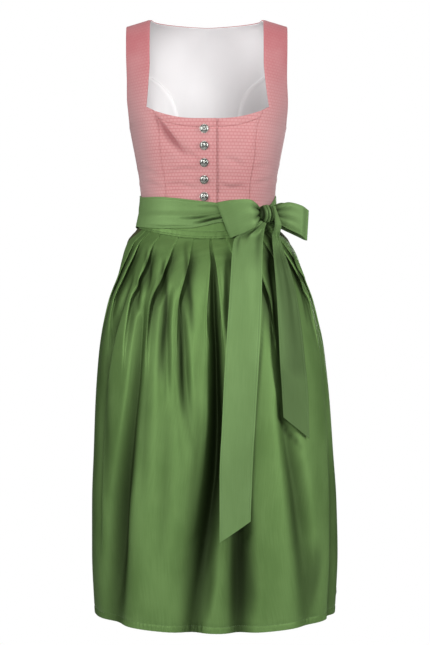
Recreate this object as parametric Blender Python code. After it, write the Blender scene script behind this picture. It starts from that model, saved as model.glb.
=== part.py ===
"""A dirndl dress on a hollow, worn form: a sleeveless bodice with princess seams and five
domed buttons, a gathered skirt, and a pleated apron tied with a ribbon bow at the side front.

Metres, +Z up. The front faces -Y and the wearer's left is at +X. The origin is level with
the shoulder points, on the middle plane, so the whole dress hangs below it.
"""
from math import cos, pi, radians, sin, tau

import bmesh
import bpy
import numpy as np

# ---------------------------------------------------------------- driving dimensions
SEAM_GAP = 0.0003            # between two pieces at a seam, and between two layers
WAIST_SEAM_GAP = 0.0008
WALL = 0.0014                # bodice cloth
LINING_WALL = 0.0010
SKIRT_WALL = 0.0012
APRON_WALL = 0.0012
RIBBON_WALL = 0.0012
PLEAT_ROOM = 0.0015          # the band stands off the figure by this much for the pleats' tops

ARMHOLE_Z = -0.196           # lowest point of the armhole
WAIST_Z = -0.366             # seam between bodice and skirt
SKIRT_HEM_Z = -1.0340
APRON_HEM_Z = -1.0425
APRON_HEM_RISE = 0.0070      # how far the apron's hem is drawn up at its side edges

SHOULDER_NECK_X = 0.097      # inner end of the shoulder seam
SHOULDER_NECK_Z = -0.0036
SHOULDER_SLOPE = 0.290       # fall of the shoulder seam for each metre outward
FRONT_ARCH = 2.0             # roundness of the strap over the front and the back
BACK_ARCH = 2.6

NECK_CORNER_X = 0.105        # corner of the square front neckline
NECK_CORNER_RISE = 0.0245
NECK_FRONT_Z = -0.1905
NECK_BACK_Z = -0.0045        # height of the back neckline at the middle

PLACKET_EDGE_X = 0.014       # edge of the upper front, which laps over the lower one
PLACKET_COVER = 0.0025       # the lower front stays low this far beyond the upper one's edge
LAP_STEP = 0.0095            # and comes up to the surface over this width
LAP_GAP = 0.0007
BUTTON_X = -0.006
BUTTON_TOP_Z = -0.2076
BUTTON_PITCH = 0.0280
BUTTON_COUNT = 5
BUTTON_RADIUS = 0.0075
BUTTON_HEIGHT = 0.0042

# The figure's sections. half_width is to the side; front and back are depths from the
# middle plane; centre_x is the sway of the hanging skirt.
#  level    half_width  front    back   centre_x
SECTIONS = (
    (0.000, 0.1606, 0.1235, 0.124, -0.0020),
    (-0.060, 0.1565, 0.1235, 0.119, -0.0020),
    (-0.110, 0.1520, 0.1235, 0.113, -0.0015),
    (-0.145, 0.1495, 0.1235, 0.107, -0.0007),
    (-0.170, 0.1450, 0.1235, 0.102, 0.0),
    (-0.185, 0.1405, 0.1235, 0.100, 0.0),
    (-0.196, 0.1365, 0.1235, 0.098, 0.0),
    (-0.210, 0.1337, 0.1235, 0.096, 0.0),
    (-0.230, 0.1298, 0.1210, 0.093, 0.0),
    (-0.255, 0.1250, 0.1140, 0.089, 0.0),
    (-0.280, 0.1205, 0.1040, 0.086, 0.0),
    (-0.300, 0.1183, 0.0970, 0.085, 0.0),
    (-0.320, 0.1168, 0.0955, 0.086, 0.0),
    (-0.340, 0.1178, 0.0965, 0.089, 0.0),
    (-0.366, 0.1225, 0.1010, 0.096, 0.0),
    (-0.389, 0.1415, 0.1160, 0.112, 0.0005),
    (-0.406, 0.1485, 0.1250, 0.122, 0.0025),
    (-0.424, 0.1535, 0.1320, 0.131, 0.0040),
    (-0.459, 0.1620, 0.1450, 0.147, 0.0048),
    (-0.494, 0.1745, 0.1550, 0.160, 0.0050),
    (-0.529, 0.1840, 0.1630, 0.171, 0.0053),
    (-0.564, 0.1920, 0.1700, 0.179, 0.0062),
    (-0.600, 0.1970, 0.1760, 0.186, 0.0068),
    (-0.669, 0.2030, 0.1830, 0.194, 0.0080),
    (-0.756, 0.2075, 0.1880, 0.200, 0.0095),
    (-0.844, 0.2120, 0.1920, 0.204, 0.0110),
    (-0.931, 0.2130, 0.1950, 0.207, 0.0120),
    (-1.042, 0.2080, 0.1965, 0.208, 0.0120),
)
SQUARE_BODICE = 0.04         # how far the bodice's section bulges between its axes
BUST = {"angle": 36.0, "spread": 20.0, "level": -0.225, "height": 0.045, "rise": 0.045}

# The apron's band sits lower in front than at the sides, and the skirt flares below it.
BAND_DIP = 0.024
BAND_DIP_END = -0.520

# Edges of the bodice's pieces: distance from the middle plane at each level.
PRINCESS_SEAM = ((-0.366, 0.072), (-0.310, 0.071), (-0.250, 0.079), (-0.205, 0.083),
                 (-0.1735, 0.094))
STRAP_INNER = ((-0.1660, 0.105), (0.000, 0.097))
ARMHOLE_FRONT = ((-0.196, 90.0), (-0.192, 80.0), (-0.185, 74.0), (-0.170, 69.0),
                 (-0.145, 65.5), (-0.110, 62.5), (-0.060, 60.0), (0.000, 58.0))
ARMHOLE_BACK = ((-0.196, 90.0), (-0.192, 80.0), (-0.185, 72.0), (-0.170, 66.0),
                (-0.145, 60.5), (-0.110, 56.5), (-0.085, 56.0), (-0.060, 56.0),
                (-0.030, 57.0), (0.000, 58.0))
BACK_SEAM = ((-0.366, 0.042), (-0.305, 0.041), (-0.250, 0.047), (-0.200, 0.053),
             (-0.155, 0.058), (-0.135, 0.064), (-0.110, 0.080), (-0.090, 0.104),
             (-0.076, 0.1270))

# Rows of points along the pieces' long seams, shared by the pieces on both sides.
FRONT_SEAM_LEVELS = (-0.1735, -0.185, -0.192, -0.196, -0.210, -0.230, -0.255, -0.280, -0.305,
                     -0.335, WAIST_Z)
STRAP_LEVELS = (0.0, -0.002, -0.008, -0.018, -0.034, -0.058, -0.088, -0.120, -0.145, -0.166)
BACK_STRAP_LEVELS = (0.0, -0.003, -0.014, -0.038, -0.060)
BACK_SEAM_LEVELS = (-0.076, -0.093, -0.112, -0.135, -0.165, -0.205, -0.250, -0.290, -0.325,
                    WAIST_Z)

# ---------------------------------------------------------------- apron, folds and ribbon
#  name, angle at the band, angle below the hips, largest height, side of the drop
PLEATS = (
    ("left_5", -56.5, -81.0, 0.0040, 1),
    ("left_4", -50.0, -67.0, 0.0065, 1),
    ("left_3", -38.0, -48.0, 0.0085, 1),
    ("left_2", -23.0, -33.0, 0.0095, 1),
    ("left_1", -11.0, -17.0, 0.0090, 1),
    ("middle_left", 1.2, -1.6, 0.0080, 1),
    ("middle_right", 3.0, 4.8, 0.0080, -1),
    ("right_1", 14.3, 18.5, 0.0085, -1),
    ("right_2", 27.0, 33.0, 0.0085, -1),
    ("right_3", 40.0, 50.0, 0.0080, -1),
    ("right_4", 50.0, 69.0, 0.0065, -1),
    ("right_5", 56.5, 82.0, 0.0040, -1),
)
PLEAT_TOP = -0.372
PLEAT_FULL = -0.450          # the pleats stand highest here
PLEAT_END = -0.640           # and have run out into soft folds here
PLEAT_SPREAD_END = -0.500    # the pleats spread apart down to here
LEAN_BREADTH = 28.0          # how far round the cloth leans with the middle fold, in degrees

#  name, ((level, angle, depth, half breadth), ...)
FRONT_FOLDS = (
    ("middle", ((-0.430, 1.9, 0.000, 0.004), (-0.500, 1.9, 0.010, 0.006),
                (-0.590, 2.2, 0.025, 0.009), (-0.674, 1.7, 0.030, 0.011),
                (-0.750, -0.5, 0.030, 0.013), (-0.844, -3.2, 0.029, 0.015),
                (-0.905, -5.0, 0.025, 0.017), (-0.965, -8.5, 0.018, 0.018),
                (-1.045, -13.0, 0.012, 0.018))),
    ("left_edge", ((-0.440, -52.0, 0.000, 0.009), (-0.500, -54.5, 0.009, 0.010),
                   (-0.560, -60.0, 0.013, 0.014), (-0.640, -64.0, 0.014, 0.016),
                   (-0.760, -62.0, 0.010, 0.018), (-0.860, -58.0, 0.004, 0.018),
                   (-0.930, -58.0, 0.000, 0.018))),
    ("left_long", ((-0.480, -38.5, 0.000, 0.008), (-0.540, -38.1, 0.010, 0.009),
                   (-0.620, -36.6, 0.013, 0.011), (-0.700, -38.0, 0.016, 0.014),
                   (-0.780, -42.0, 0.020, 0.018), (-0.860, -46.0, 0.022, 0.021),
                   (-0.940, -48.5, 0.019, 0.022), (-1.045, -54.0, 0.010, 0.022))),
    ("left_short", ((-0.470, -23.5, 0.000, 0.006), (-0.532, -23.6, 0.008, 0.007),
                    (-0.585, -22.8, 0.007, 0.008), (-0.680, -22.0, 0.000, 0.009))),
    ("left_inner", ((-0.500, -14.6, 0.000, 0.007), (-0.549, -14.4, 0.008, 0.008),
                    (-0.604, -13.7, 0.010, 0.009), (-0.676, -12.2, 0.007, 0.010),
                    (-0.760, -11.0, 0.000, 0.011))),
    ("under_ribbon", ((-0.640, 13.5, 0.000, 0.009), (-0.780, 12.0, 0.012, 0.012),
                      (-0.900, 12.0, 0.020, 0.016), (-0.980, 12.0, 0.019, 0.018),
                      (-1.045, 11.5, 0.015, 0.018))),
    ("right_inner", ((-0.440, 43.0, 0.000, 0.006), (-0.500, 39.5, 0.010, 0.008),
                     (-0.600, 36.5, 0.009, 0.011), (-0.700, 36.0, 0.003, 0.013))),
    ("right_long", ((-0.650, 35.0, 0.000, 0.013), (-0.725, 36.5, 0.010, 0.014),
                    (-0.848, 38.3, 0.016, 0.017), (-0.911, 40.3, 0.014, 0.019),
                    (-1.045, 44.0, 0.006, 0.020))),
    ("right_edge", ((-0.480, 69.0, 0.000, 0.010), (-0.580, 67.0, 0.008, 0.012),
                    (-0.700, 66.0, 0.007, 0.016), (-0.860, 64.0, 0.013, 0.020),
                    (-0.960, 64.0, 0.014, 0.022), (-1.045, 66.0, 0.009, 0.022))),
)
#  name, angle at the top, angle at the hem, level where it starts, depth, half breadth
BACK_FOLDS = (
    ("side_left", 106.0, 107.0, -0.43, 0.011, 0.013),
    ("outer_left", 124.0, 122.0, -0.47, 0.016, 0.015),
    ("inner_left", 141.0, 143.0, -0.41, 0.011, 0.013),
    ("middle_left", 159.0, 161.0, -0.50, 0.018, 0.016),
    ("middle", 177.0, 180.0, -0.42, 0.012, 0.013),
    ("middle_right", 197.0, 199.0, -0.48, 0.018, 0.016),
    ("inner_right", 216.0, 217.0, -0.40, 0.011, 0.013),
    ("outer_right", 235.0, 238.0, -0.46, 0.015, 0.015),
    ("side_right", 254.0, 255.0, -0.43, 0.010, 0.013),
)
GATHER_COUNT = 17            # gathers of the skirt's back, sewn into the waist seam
GATHER_FROM, GATHER_TO = 101.07, 258.93
GATHER_HEIGHT = 0.0045
GATHER_FULL, GATHER_END = -0.400, -0.560
HEM_FLICK = {"angle": 104.0, "level": -1.010, "height": 0.018, "spread": 4.0, "tall": 0.035}

APRON_EDGE = ((-0.372, 60.0), (-0.385, 62.0), (-0.400, 67.0), (-0.420, 76.0), (-0.445, 84.0),
              (-0.480, 88.0), (-0.550, 90.0), (-0.750, 93.0), (-1.040, 95.0))
BAND_TOP_FRONT, BAND_TOP_SIDE = -0.358, -0.354
BAND_END_ANGLE = 66.0
BAND_TUCK = 0.008            # how far the apron reaches up behind its band
SKIRT_SEAM_ANGLE = 101.0     # side seams of the skirt
#  level, how far the covered part of the skirt hangs inside the figure's surface
SKIRT_SET_BACK = ((-0.366, 0.0006), (-0.376, 0.0006), (-0.446, 0.0065), (-0.540, 0.0065),
                  (-0.620, 0.0090), (-1.040, 0.0090))
COVERED_TO = 96.0            # the set-back fades out from here to the side seam
INNER_FOLD_DEPTH = 1.18      # the covered skirt's folds are deeper and broader than the
INNER_FOLD_BREADTH = 1.5     # apron's, so that the two layers stay apart
#  share of the way from the waist to the hem of each row of points
SKIRT_ROWS = (0.0, 0.012, 0.027, 0.046, 0.075, 0.115, 0.165, 0.225, 0.300, 0.395, 0.510,
              0.640, 0.780, 0.900, 1.0)
#  angle, level of the ribbon's edge; both edges draw together towards the knot
RIBBON_TOP = ((-180.0, -0.3040), (-90.0, -0.3110), (-67.0, -0.3165), (-42.0, -0.3185),
              (-3.0, -0.3276), (8.0, -0.3301), (25.0, -0.3320), (37.0, -0.3340),
              (48.0, -0.3350), (60.0, -0.3310), (76.0, -0.3180), (90.0, -0.3110), (180.0, -0.3040))
RIBBON_BOTTOM = ((-180.0, -0.3625), (-90.0, -0.3650), (-65.0, -0.3705), (-35.0, -0.3743),
                 (-15.0, -0.3743), (-3.0, -0.3705), (8.0, -0.3650), (25.0, -0.3625),
                 (48.0, -0.3615), (60.0, -0.3635), (76.0, -0.3670), (90.0, -0.3650), (180.0, -0.3625))
HUG_FROM, HUG_TO = 0.016, 0.002   # the ribbon leaves the bodice this far above the band's top
RIBBON_SWELL = 0.0012        # the ribbon's middle stands out from its edges by this much
RIBBON_PARTING = 95.0        # angle where its front and back stretches meet
SIDE_GAP = 0.07              # half the gap at the skirt's and ribbon's side seams, in degrees

KNOT_ANGLE = 46.5
KNOT_Z = -0.348
KNOT_SIZE = (0.034, 0.022, 0.030)                   # along the waist, outward, up
KNOT_FLUTES = 5
FLUTE_DEPTH, FLUTE_TURN = 0.05, 0.6
KNOT_RINGS = 9
LOOP_START_GAP = 0.0010
TAIL_ROOT_GAP = 0.0004       # between a ribbon end's root and the knot's underside

#  share of the loop's length, half height, outward place of the front and rear layers
LOOP_PROFILE = ((0.00, 0.0080, 0.0085, 0.0022), (0.14, 0.0150, 0.0135, 0.0016),
                (0.38, 0.0235, 0.0185, 0.0014), (0.72, 0.0270, 0.0165, 0.0014),
                (0.95, 0.0285, 0.0080, 0.0022))
LOOPS = {
    "bow_loop_right_hand": {"turn": -1, "along_top": 0.094, "along_bottom": 0.064,
                            "out_end": -0.0145, "droop": -0.014, "tall": 1.0},
    "bow_loop_left_hand": {"turn": 1, "along_top": 0.082, "along_bottom": 0.078,
                           "out_end": 0.022, "droop": -0.0185, "tall": 0.90},
}

# Where the ribbon ends stand off the figure: more over the apron's pleats than below them.
TAIL_STAND = ((-0.360, 0.0), (-0.400, 0.0), (-0.450, 0.0085), (-1.000, 0.0085))
TAIL_SETTLE = 0.45           # share of the distance lost below the pleats
TAIL_SETTLE_FROM, TAIL_SETTLE_TO = -0.580, -0.700

# The roots are places along the knot's underside; the tables give, for each row below, the
# level of the left and the right edge, their x, and the distance off the skirt.
TAIL_LONG_ROOT = (-0.0135, -0.0010)
#  level, places along the knot of the left and the right edge, distances out from its seat
TAIL_SHORT_ROOT = (
    (-0.3345, 0.0060, 0.0130, 0.0208, 0.0186),
    (-0.3440, 0.0065, 0.0160, 0.0236, 0.0198),
    (-0.3560, 0.0075, 0.0220, 0.0236, 0.0198),
    (-0.3670, 0.0090, 0.0265, 0.0222, 0.0196),
)
TAIL_LONG = (
    (-0.376, -0.374, 0.0700, 0.0965, 0.0085),
    (-0.392, -0.388, 0.0450, 0.0945, 0.0080),
    (-0.420, -0.417, 0.0405, 0.0925, 0.0060),
    (-0.458, -0.455, 0.0380, 0.0912, 0.0040),
    (-0.496, -0.493, 0.0356, 0.0900, 0.0030),
    (-0.550, -0.547, 0.0320, 0.0875, 0.0030),
    (-0.620, -0.616, 0.0275, 0.0835, 0.0030),
    (-0.700, -0.692, 0.0238, 0.0790, 0.0030),
    (-0.790, -0.775, 0.0197, 0.0740, 0.0030),
    (-0.893, -0.859, 0.0197, 0.0707, 0.0030),
)
TAIL_SHORT = (
    (-0.384, -0.384, 0.1090, 0.1225, 0.0085),
    (-0.410, -0.410, 0.1105, 0.1290, 0.0070),
    (-0.450, -0.450, 0.1130, 0.1420, 0.0050),
    (-0.490, -0.490, 0.1155, 0.1510, 0.0040),
    (-0.545, -0.545, 0.1180, 0.1585, 0.0030),
    (-0.597, -0.597, 0.1200, 0.1634, 0.0030),
    (-0.645, -0.655, 0.1231, 0.1690, 0.0030),
    (-0.690, -0.7275, 0.1257, 0.1708, 0.0030),
)

# ---------------------------------------------------------------- colours
PINK = (0.60, 0.25, 0.26)
WHITE = (0.84, 0.83, 0.83)
OLIVE = (0.12, 0.11, 0.07)
GREEN = (0.16, 0.28, 0.10)
SILVER = (0.36, 0.35, 0.34)


# ---------------------------------------------------------------- small tools
def curve_through(rows, column, at):
    """Read a smooth curve through table rows; column 0 is where each row stands."""
    table = np.array(sorted((row[0], row[column]) for row in rows), dtype=float)
    place, value = table[:, 0], table[:, 1]
    step = np.diff(place)
    slope = np.diff(value) / step
    tangent = np.concatenate(([slope[0]], np.zeros(len(slope) - 1), [slope[-1]]))
    same_way = slope[:-1] * slope[1:] > 0.0
    mean = 3.0 * (step[:-1] + step[1:]) * np.where(same_way, 1.0, 0.0)
    below = (2.0 * step[1:] + step[:-1]) / np.where(same_way, slope[:-1], 1.0)
    above = (step[1:] + 2.0 * step[:-1]) / np.where(same_way, slope[1:], 1.0)
    tangent[1:-1] = mean / (below + above)
    at = np.clip(np.asarray(at, dtype=float), place[0], place[-1])
    index = np.clip(np.searchsorted(place, at) - 1, 0, len(step) - 1)
    width = step[index]
    t = (at - place[index]) / width
    start = value[index] * (1.0 + 2.0 * t) * (1.0 - t) ** 2
    start_tangent = tangent[index] * width * t * (1.0 - t) ** 2
    end = value[index + 1] * t * t * (3.0 - 2.0 * t)
    end_tangent = tangent[index + 1] * width * t * t * (t - 1.0)
    return start + start_tangent + end + end_tangent


def ease(value, start, end):
    """Rise smoothly from 0 at start to 1 at end."""
    t = np.clip((value - start) / (end - start), 0.0, 1.0)
    return t * t * (3.0 - 2.0 * t)


def blend(start, end, share):
    return start + (end - start) * share


# ---------------------------------------------------------------- the figure's surface
def figure(angle, level):
    """Point of the worn form: angle 0 is the middle front and 90 the wearer's left side."""
    angle, level = np.broadcast_arrays(np.asarray(angle, float), np.asarray(level, float))
    turn = np.radians(angle)
    front = np.cos(turn) >= 0.0
    dip = BAND_DIP * np.where(front, np.cos(turn) ** 2, 0.0)
    dip = dip * ease(level, BAND_DIP_END, WAIST_Z - BAND_DIP) * ease(-level, -ARMHOLE_Z, -WAIST_Z)
    section = level + dip
    half_width = curve_through(SECTIONS, 1, section)
    depth = np.where(front, curve_through(SECTIONS, 2, section), curve_through(SECTIONS, 3, section))
    square = SQUARE_BODICE * ease(section, -0.45, WAIST_Z)
    bulge = 1.0 + square * np.sin(2.0 * turn) ** 2
    away = (np.abs((angle + 180.0) % 360.0 - 180.0) - BUST["angle"]) / BUST["spread"]
    rise = (level - BUST["level"]) / BUST["height"]
    bulge = bulge + np.where(front, BUST["rise"] * np.exp(-away ** 2 - rise ** 2), 0.0)
    x = half_width * bulge * np.sin(turn)
    height = np.clip((level - ARMHOLE_Z) / -ARMHOLE_Z, 0.0, 1.0)
    arch = np.where(front, FRONT_ARCH, BACK_ARCH)
    lean = (1.0 - height ** arch) ** (1.0 / arch)
    y = -depth * bulge * np.cos(turn) * lean - np.where(front, 0.5, -0.5) * SEAM_GAP
    top = SHOULDER_NECK_Z - SHOULDER_SLOPE * (np.abs(x) - SHOULDER_NECK_X)
    z = np.where(level > ARMHOLE_Z, ARMHOLE_Z + (top - ARMHOLE_Z) * height, level)
    return np.stack((x + curve_through(SECTIONS, 4, section), y, z), axis=-1)


def outward(angle, level):
    """Unit normal of the figure."""
    turn_step, level_step = 0.02, 0.0002
    level = np.minimum(level, -1.01 * level_step)
    across = figure(angle + turn_step, level) - figure(angle - turn_step, level)
    along = figure(angle, level + level_step) - figure(angle, level - level_step)
    normal = np.cross(across, along)
    return normal / np.linalg.norm(normal, axis=-1, keepdims=True)


def on_figure(angle, level, offset):
    """Point at a distance off the figure, along its normal."""
    return figure(angle, level) + outward(angle, level) * np.asarray(offset)[..., None]


def angle_at(x, level, back=False):
    """Angle at which the figure's front (or back) has this x, found by halving."""
    x, level = np.broadcast_arrays(np.asarray(x, float), np.asarray(level, float))
    low, high = np.full(x.shape, -90.0), np.full(x.shape, 90.0)
    for _ in range(40):
        middle = 0.5 * (low + high)
        found = figure(180.0 - middle if back else middle, level)[..., 0]
        low = np.where(found < x, middle, low)
        high = np.where(found < x, high, middle)
    middle = 0.5 * (low + high)
    return 180.0 - middle if back else middle


# ---------------------------------------------------------------- folds and pleats
def arc_distance(angle, centre, level):
    """Distance along the section between two angles of the skirt."""
    radius = 0.5 * (curve_through(SECTIONS, 1, level) + curve_through(SECTIONS, 2, level))
    return np.radians((angle - centre + 180.0) % 360.0 - 180.0) * radius


def front_folds(angle, level, spread=1.0):
    """Depth of the long soft folds under and in the apron, as a distance inward."""
    depth = np.zeros(np.broadcast(angle, level).shape)
    for _, path in FRONT_FOLDS:
        centre = curve_through(path, 1, level)
        breadth = curve_through(path, 3, level) * spread
        reach = curve_through(path, 2, level)
        inside = (level <= path[0][0]) & (level >= path[-1][0])
        shape = np.exp(-(arc_distance(angle, centre, level) / breadth) ** 2)
        depth = depth + np.where(inside, reach * shape, 0.0)
    return depth


def back_folds(angle, level):
    """Depth of the folds and gathers in the back of the skirt."""
    depth = np.zeros(np.broadcast(angle, level).shape)
    for _, top, hem, start, reach, breadth in BACK_FOLDS:
        down = ease(-level, -start, -start + 0.22)
        centre = blend(top, hem, ease(-level, -start, -SKIRT_HEM_Z))
        shape = np.exp(-(arc_distance(angle, centre, level) / (breadth * (0.7 + 0.3 * down))) ** 2)
        depth = depth + reach * down * shape
    share = (angle - GATHER_FROM) / (GATHER_TO - GATHER_FROM)
    wave = 0.5 - 0.5 * np.cos(tau * GATHER_COUNT * share)
    fade = ease(-level, -WAIST_Z, -GATHER_FULL) * (1.0 - ease(-level, -GATHER_FULL, -GATHER_END))
    inside = (share > 0.0) & (share < 1.0)
    return depth + np.where(inside, GATHER_HEIGHT * wave * fade, 0.0)


def hem_flick(angle, level):
    """The edge of the skirt that turns out beside the apron, low on the left."""
    side = (angle - HEM_FLICK["angle"]) / HEM_FLICK["spread"]
    rise = (level - HEM_FLICK["level"]) / HEM_FLICK["tall"]
    return HEM_FLICK["height"] * np.exp(-side ** 2 - rise ** 2)


def lean(angle, level):
    """Lines of the cloth near the middle fold follow it to the wearer's right."""
    path = FRONT_FOLDS[0][1]
    start = path[1][1]
    shift = np.where(level < path[1][0], curve_through(path, 1, level) - start, 0.0)
    return angle + shift * np.exp(-((angle - start) / LEAN_BREADTH) ** 2)


def pleat_angle(pleat, level):
    """Angle of a pleat's folded edge at a level."""
    _, band, low, _, _ = pleat
    angle = blend(band, low, ease(-level, -PLEAT_TOP, -PLEAT_SPREAD_END))
    return lean(angle, level)


def pleat_height(level):
    """Share of a pleat's largest height at a level."""
    grown = 0.05 + 0.95 * ease(-level, -PLEAT_TOP - 0.018, -PLEAT_FULL)
    return grown * (1.0 - ease(-level, -PLEAT_FULL - 0.02, -PLEAT_END))


# ---------------------------------------------------------------- meshes
def finish(name, bm, colour, roughness, metallic=0.0):
    """Turn a bmesh into a named object with outward faces and its own material."""
    bmesh.ops.recalc_face_normals(bm, faces=bm.faces)
    if bm.calc_volume(signed=True) < 0.0:
        bmesh.ops.reverse_faces(bm, faces=bm.faces)
    mesh = bpy.data.meshes.new(name)
    bm.to_mesh(mesh)
    bm.free()
    mesh.shade_smooth()
    mesh.set_sharp_from_angle(angle=radians(50.0))
    material = bpy.data.materials.new(name)
    material.use_nodes = True
    shader = material.node_tree.nodes["Principled BSDF"]
    shader.inputs["Base Color"].default_value = (*colour, 1.0)
    shader.inputs["Roughness"].default_value = roughness
    shader.inputs["Metallic"].default_value = metallic
    mesh.materials.append(material)
    piece = bpy.data.objects.new(name, mesh)
    bpy.context.scene.collection.objects.link(piece)
    return piece


def cloth(name, outer, inner, colour, roughness=0.8):
    """Close two grids of points, the outer and inner face of a wall, into one solid."""
    rows, columns = outer.shape[:2]
    bm = bmesh.new()
    faces = [[[bm.verts.new(point) for point in row] for row in grid] for grid in (outer, inner)]
    for grid in faces:
        for r in range(rows - 1):
            for c in range(columns - 1):
                bm.faces.new((grid[r][c], grid[r][c + 1], grid[r + 1][c + 1], grid[r + 1][c]))
    top, bottom = [grid[0] for grid in faces], [grid[-1] for grid in faces]
    left = [[row[0] for row in grid] for grid in faces]
    right = [[row[-1] for row in grid] for grid in faces]
    for one, other in (top, bottom, left, right):
        for a, b, c, d in zip(one, one[1:], other[1:], other):
            bm.faces.new((a, b, c, d))
    return finish(name, bm, colour, roughness)


def draped(name, angle, level, offset, wall, colour, roughness=0.8):
    """A cloth piece whose outer face lies at an offset from the figure."""
    offset = np.broadcast_to(offset, angle.shape)
    normal = outward(angle, level)
    base = figure(angle, level)
    outer = base + normal * offset[..., None]
    inner = base + normal * (offset - wall)[..., None]
    return cloth(name, outer, inner, colour, roughness)


# ---------------------------------------------------------------- bodice
def neckline_level(x):
    """Level of the front neckline: low in the middle, turned up to the strap's corner."""
    return NECK_FRONT_Z + NECK_CORNER_RISE * (np.abs(x) / NECK_CORNER_X) ** 3


def back_neckline_level(x):
    """Level of the back neckline, which runs almost level between the shoulder seams."""
    x = np.abs(x)
    share = np.clip(x / SHOULDER_NECK_X, 0.0, 1.0)
    height = blend(NECK_BACK_Z, SHOULDER_NECK_Z, share ** 2)
    crest = SHOULDER_NECK_Z - SHOULDER_SLOPE * (x - SHOULDER_NECK_X)
    return np.where(x < SHOULDER_NECK_X, ARMHOLE_Z * (crest - height) / (crest - ARMHOLE_Z), 0.0)


def front_middle(name, side):
    """One of the two lapping fronts. side is -1 for the wearer's right, which is on top."""
    levels = np.array(FRONT_SEAM_LEVELS)
    down = ((WAIST_Z - levels) / (WAIST_Z - levels[0]))[:, None]
    seam_top = curve_through(PRINCESS_SEAM, 1, levels[0])
    covered = PLACKET_EDGE_X + PLACKET_COVER
    lap = np.array((-PLACKET_EDGE_X, 0.0, covered, covered + LAP_STEP))
    share = np.concatenate((np.zeros(3), np.linspace(0.0, 1.0, 5)))[None, :]
    start = np.concatenate((lap, np.full(4, lap[-1])))[None, :]
    top = neckline_level(blend(start, seam_top, share))
    level = blend(WAIST_Z, top, down)
    seam = curve_through(PRINCESS_SEAM, 1, level) - 0.5 * SEAM_GAP
    x = blend(start, seam, share) * side
    offset = np.zeros(x.shape)
    if side > 0:
        offset = (ease(x, lap[2], lap[3]) - 1.0) * (WALL + LAP_GAP)
    draped(name, angle_at(x, level), level, offset, WALL, PINK)


def front_side(name, side):
    """The side front with its shoulder strap."""
    level = np.array(STRAP_LEVELS + FRONT_SEAM_LEVELS)[:, None]
    strap = curve_through(STRAP_INNER, 1, level)
    seam = curve_through(PRINCESS_SEAM, 1, level) + 0.5 * SEAM_GAP
    inner = angle_at(np.where(level > -0.170, strap, seam), level)
    outer = np.where(level > ARMHOLE_Z, curve_through(ARMHOLE_FRONT, 1, level), 90.0)
    across = np.linspace(0.0, 1.0, 7)[None, :]
    angle = blend(inner, outer, across) * side
    draped(name, angle, np.broadcast_to(level, angle.shape), 0.0, WALL, PINK)


def back_middle(name, offset, wall, colour):
    """The middle back: narrow at the waist, wide between the armholes, with both straps."""
    edge_level = np.array(BACK_STRAP_LEVELS + BACK_SEAM_LEVELS)[:, None]
    down = edge_level / WAIST_Z
    armhole_x = figure(curve_through(ARMHOLE_BACK, 1, 0.0), 0.0)[0] - figure(0.0, 0.0)[0]
    neck = SHOULDER_NECK_X / armhole_x
    half = (neck * np.linspace(0.0, 1.0, 6)[1:]).tolist() + [0.5 + 0.5 * neck, 1.0]
    across = np.array([-share for share in reversed(half)] + [0.0] + half)[None, :]
    top = back_neckline_level(across * armhole_x)
    level = blend(top, WAIST_Z, down)
    seam = curve_through(BACK_SEAM, 1, level) - 0.5 * SEAM_GAP
    middle = figure(180.0, level)[..., 0]
    armhole = figure(180.0 - curve_through(ARMHOLE_BACK, 1, level), level)[..., 0] - middle
    edge = np.where(edge_level > BACK_SEAM_LEVELS[0], armhole, np.minimum(seam, armhole))
    angle = angle_at(middle + across * edge, level, back=True)
    draped(name, angle, level, offset, wall, colour)


def back_side(name, side, offset, wall, colour):
    """The side back, between the side seam and the curved back seam."""
    seam_level = np.array(BACK_SEAM_LEVELS)[:, None]
    seam = angle_at(curve_through(BACK_SEAM, 1, seam_level) + 0.5 * SEAM_GAP, seam_level, back=True)
    rows = len(BACK_SEAM_LEVELS)
    armhole_rows = 5
    down = np.arange(rows)[:, None]
    armhole = np.clip(1.0 - down / armhole_rows, 0.0, 1.0) ** 1.5
    straight = np.clip((down - armhole_rows) / (rows - 1.0 - armhole_rows), 0.0, 1.0)
    side_level = blend(ARMHOLE_Z, BACK_SEAM_LEVELS[0], armhole) + (WAIST_Z - ARMHOLE_Z) * straight
    at_armhole = 180.0 - curve_through(ARMHOLE_BACK, 1, side_level)
    side_angle = np.where(down < armhole_rows, at_armhole, 90.0 + 0.001)
    across = np.linspace(0.0, 1.0, 6)[None, :]
    level = blend(side_level, seam_level, across)
    angle = blend(side_angle, seam, across)
    angle = angle if side > 0 else 360.0 - angle
    draped(name, angle, level, offset, wall, colour)


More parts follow.
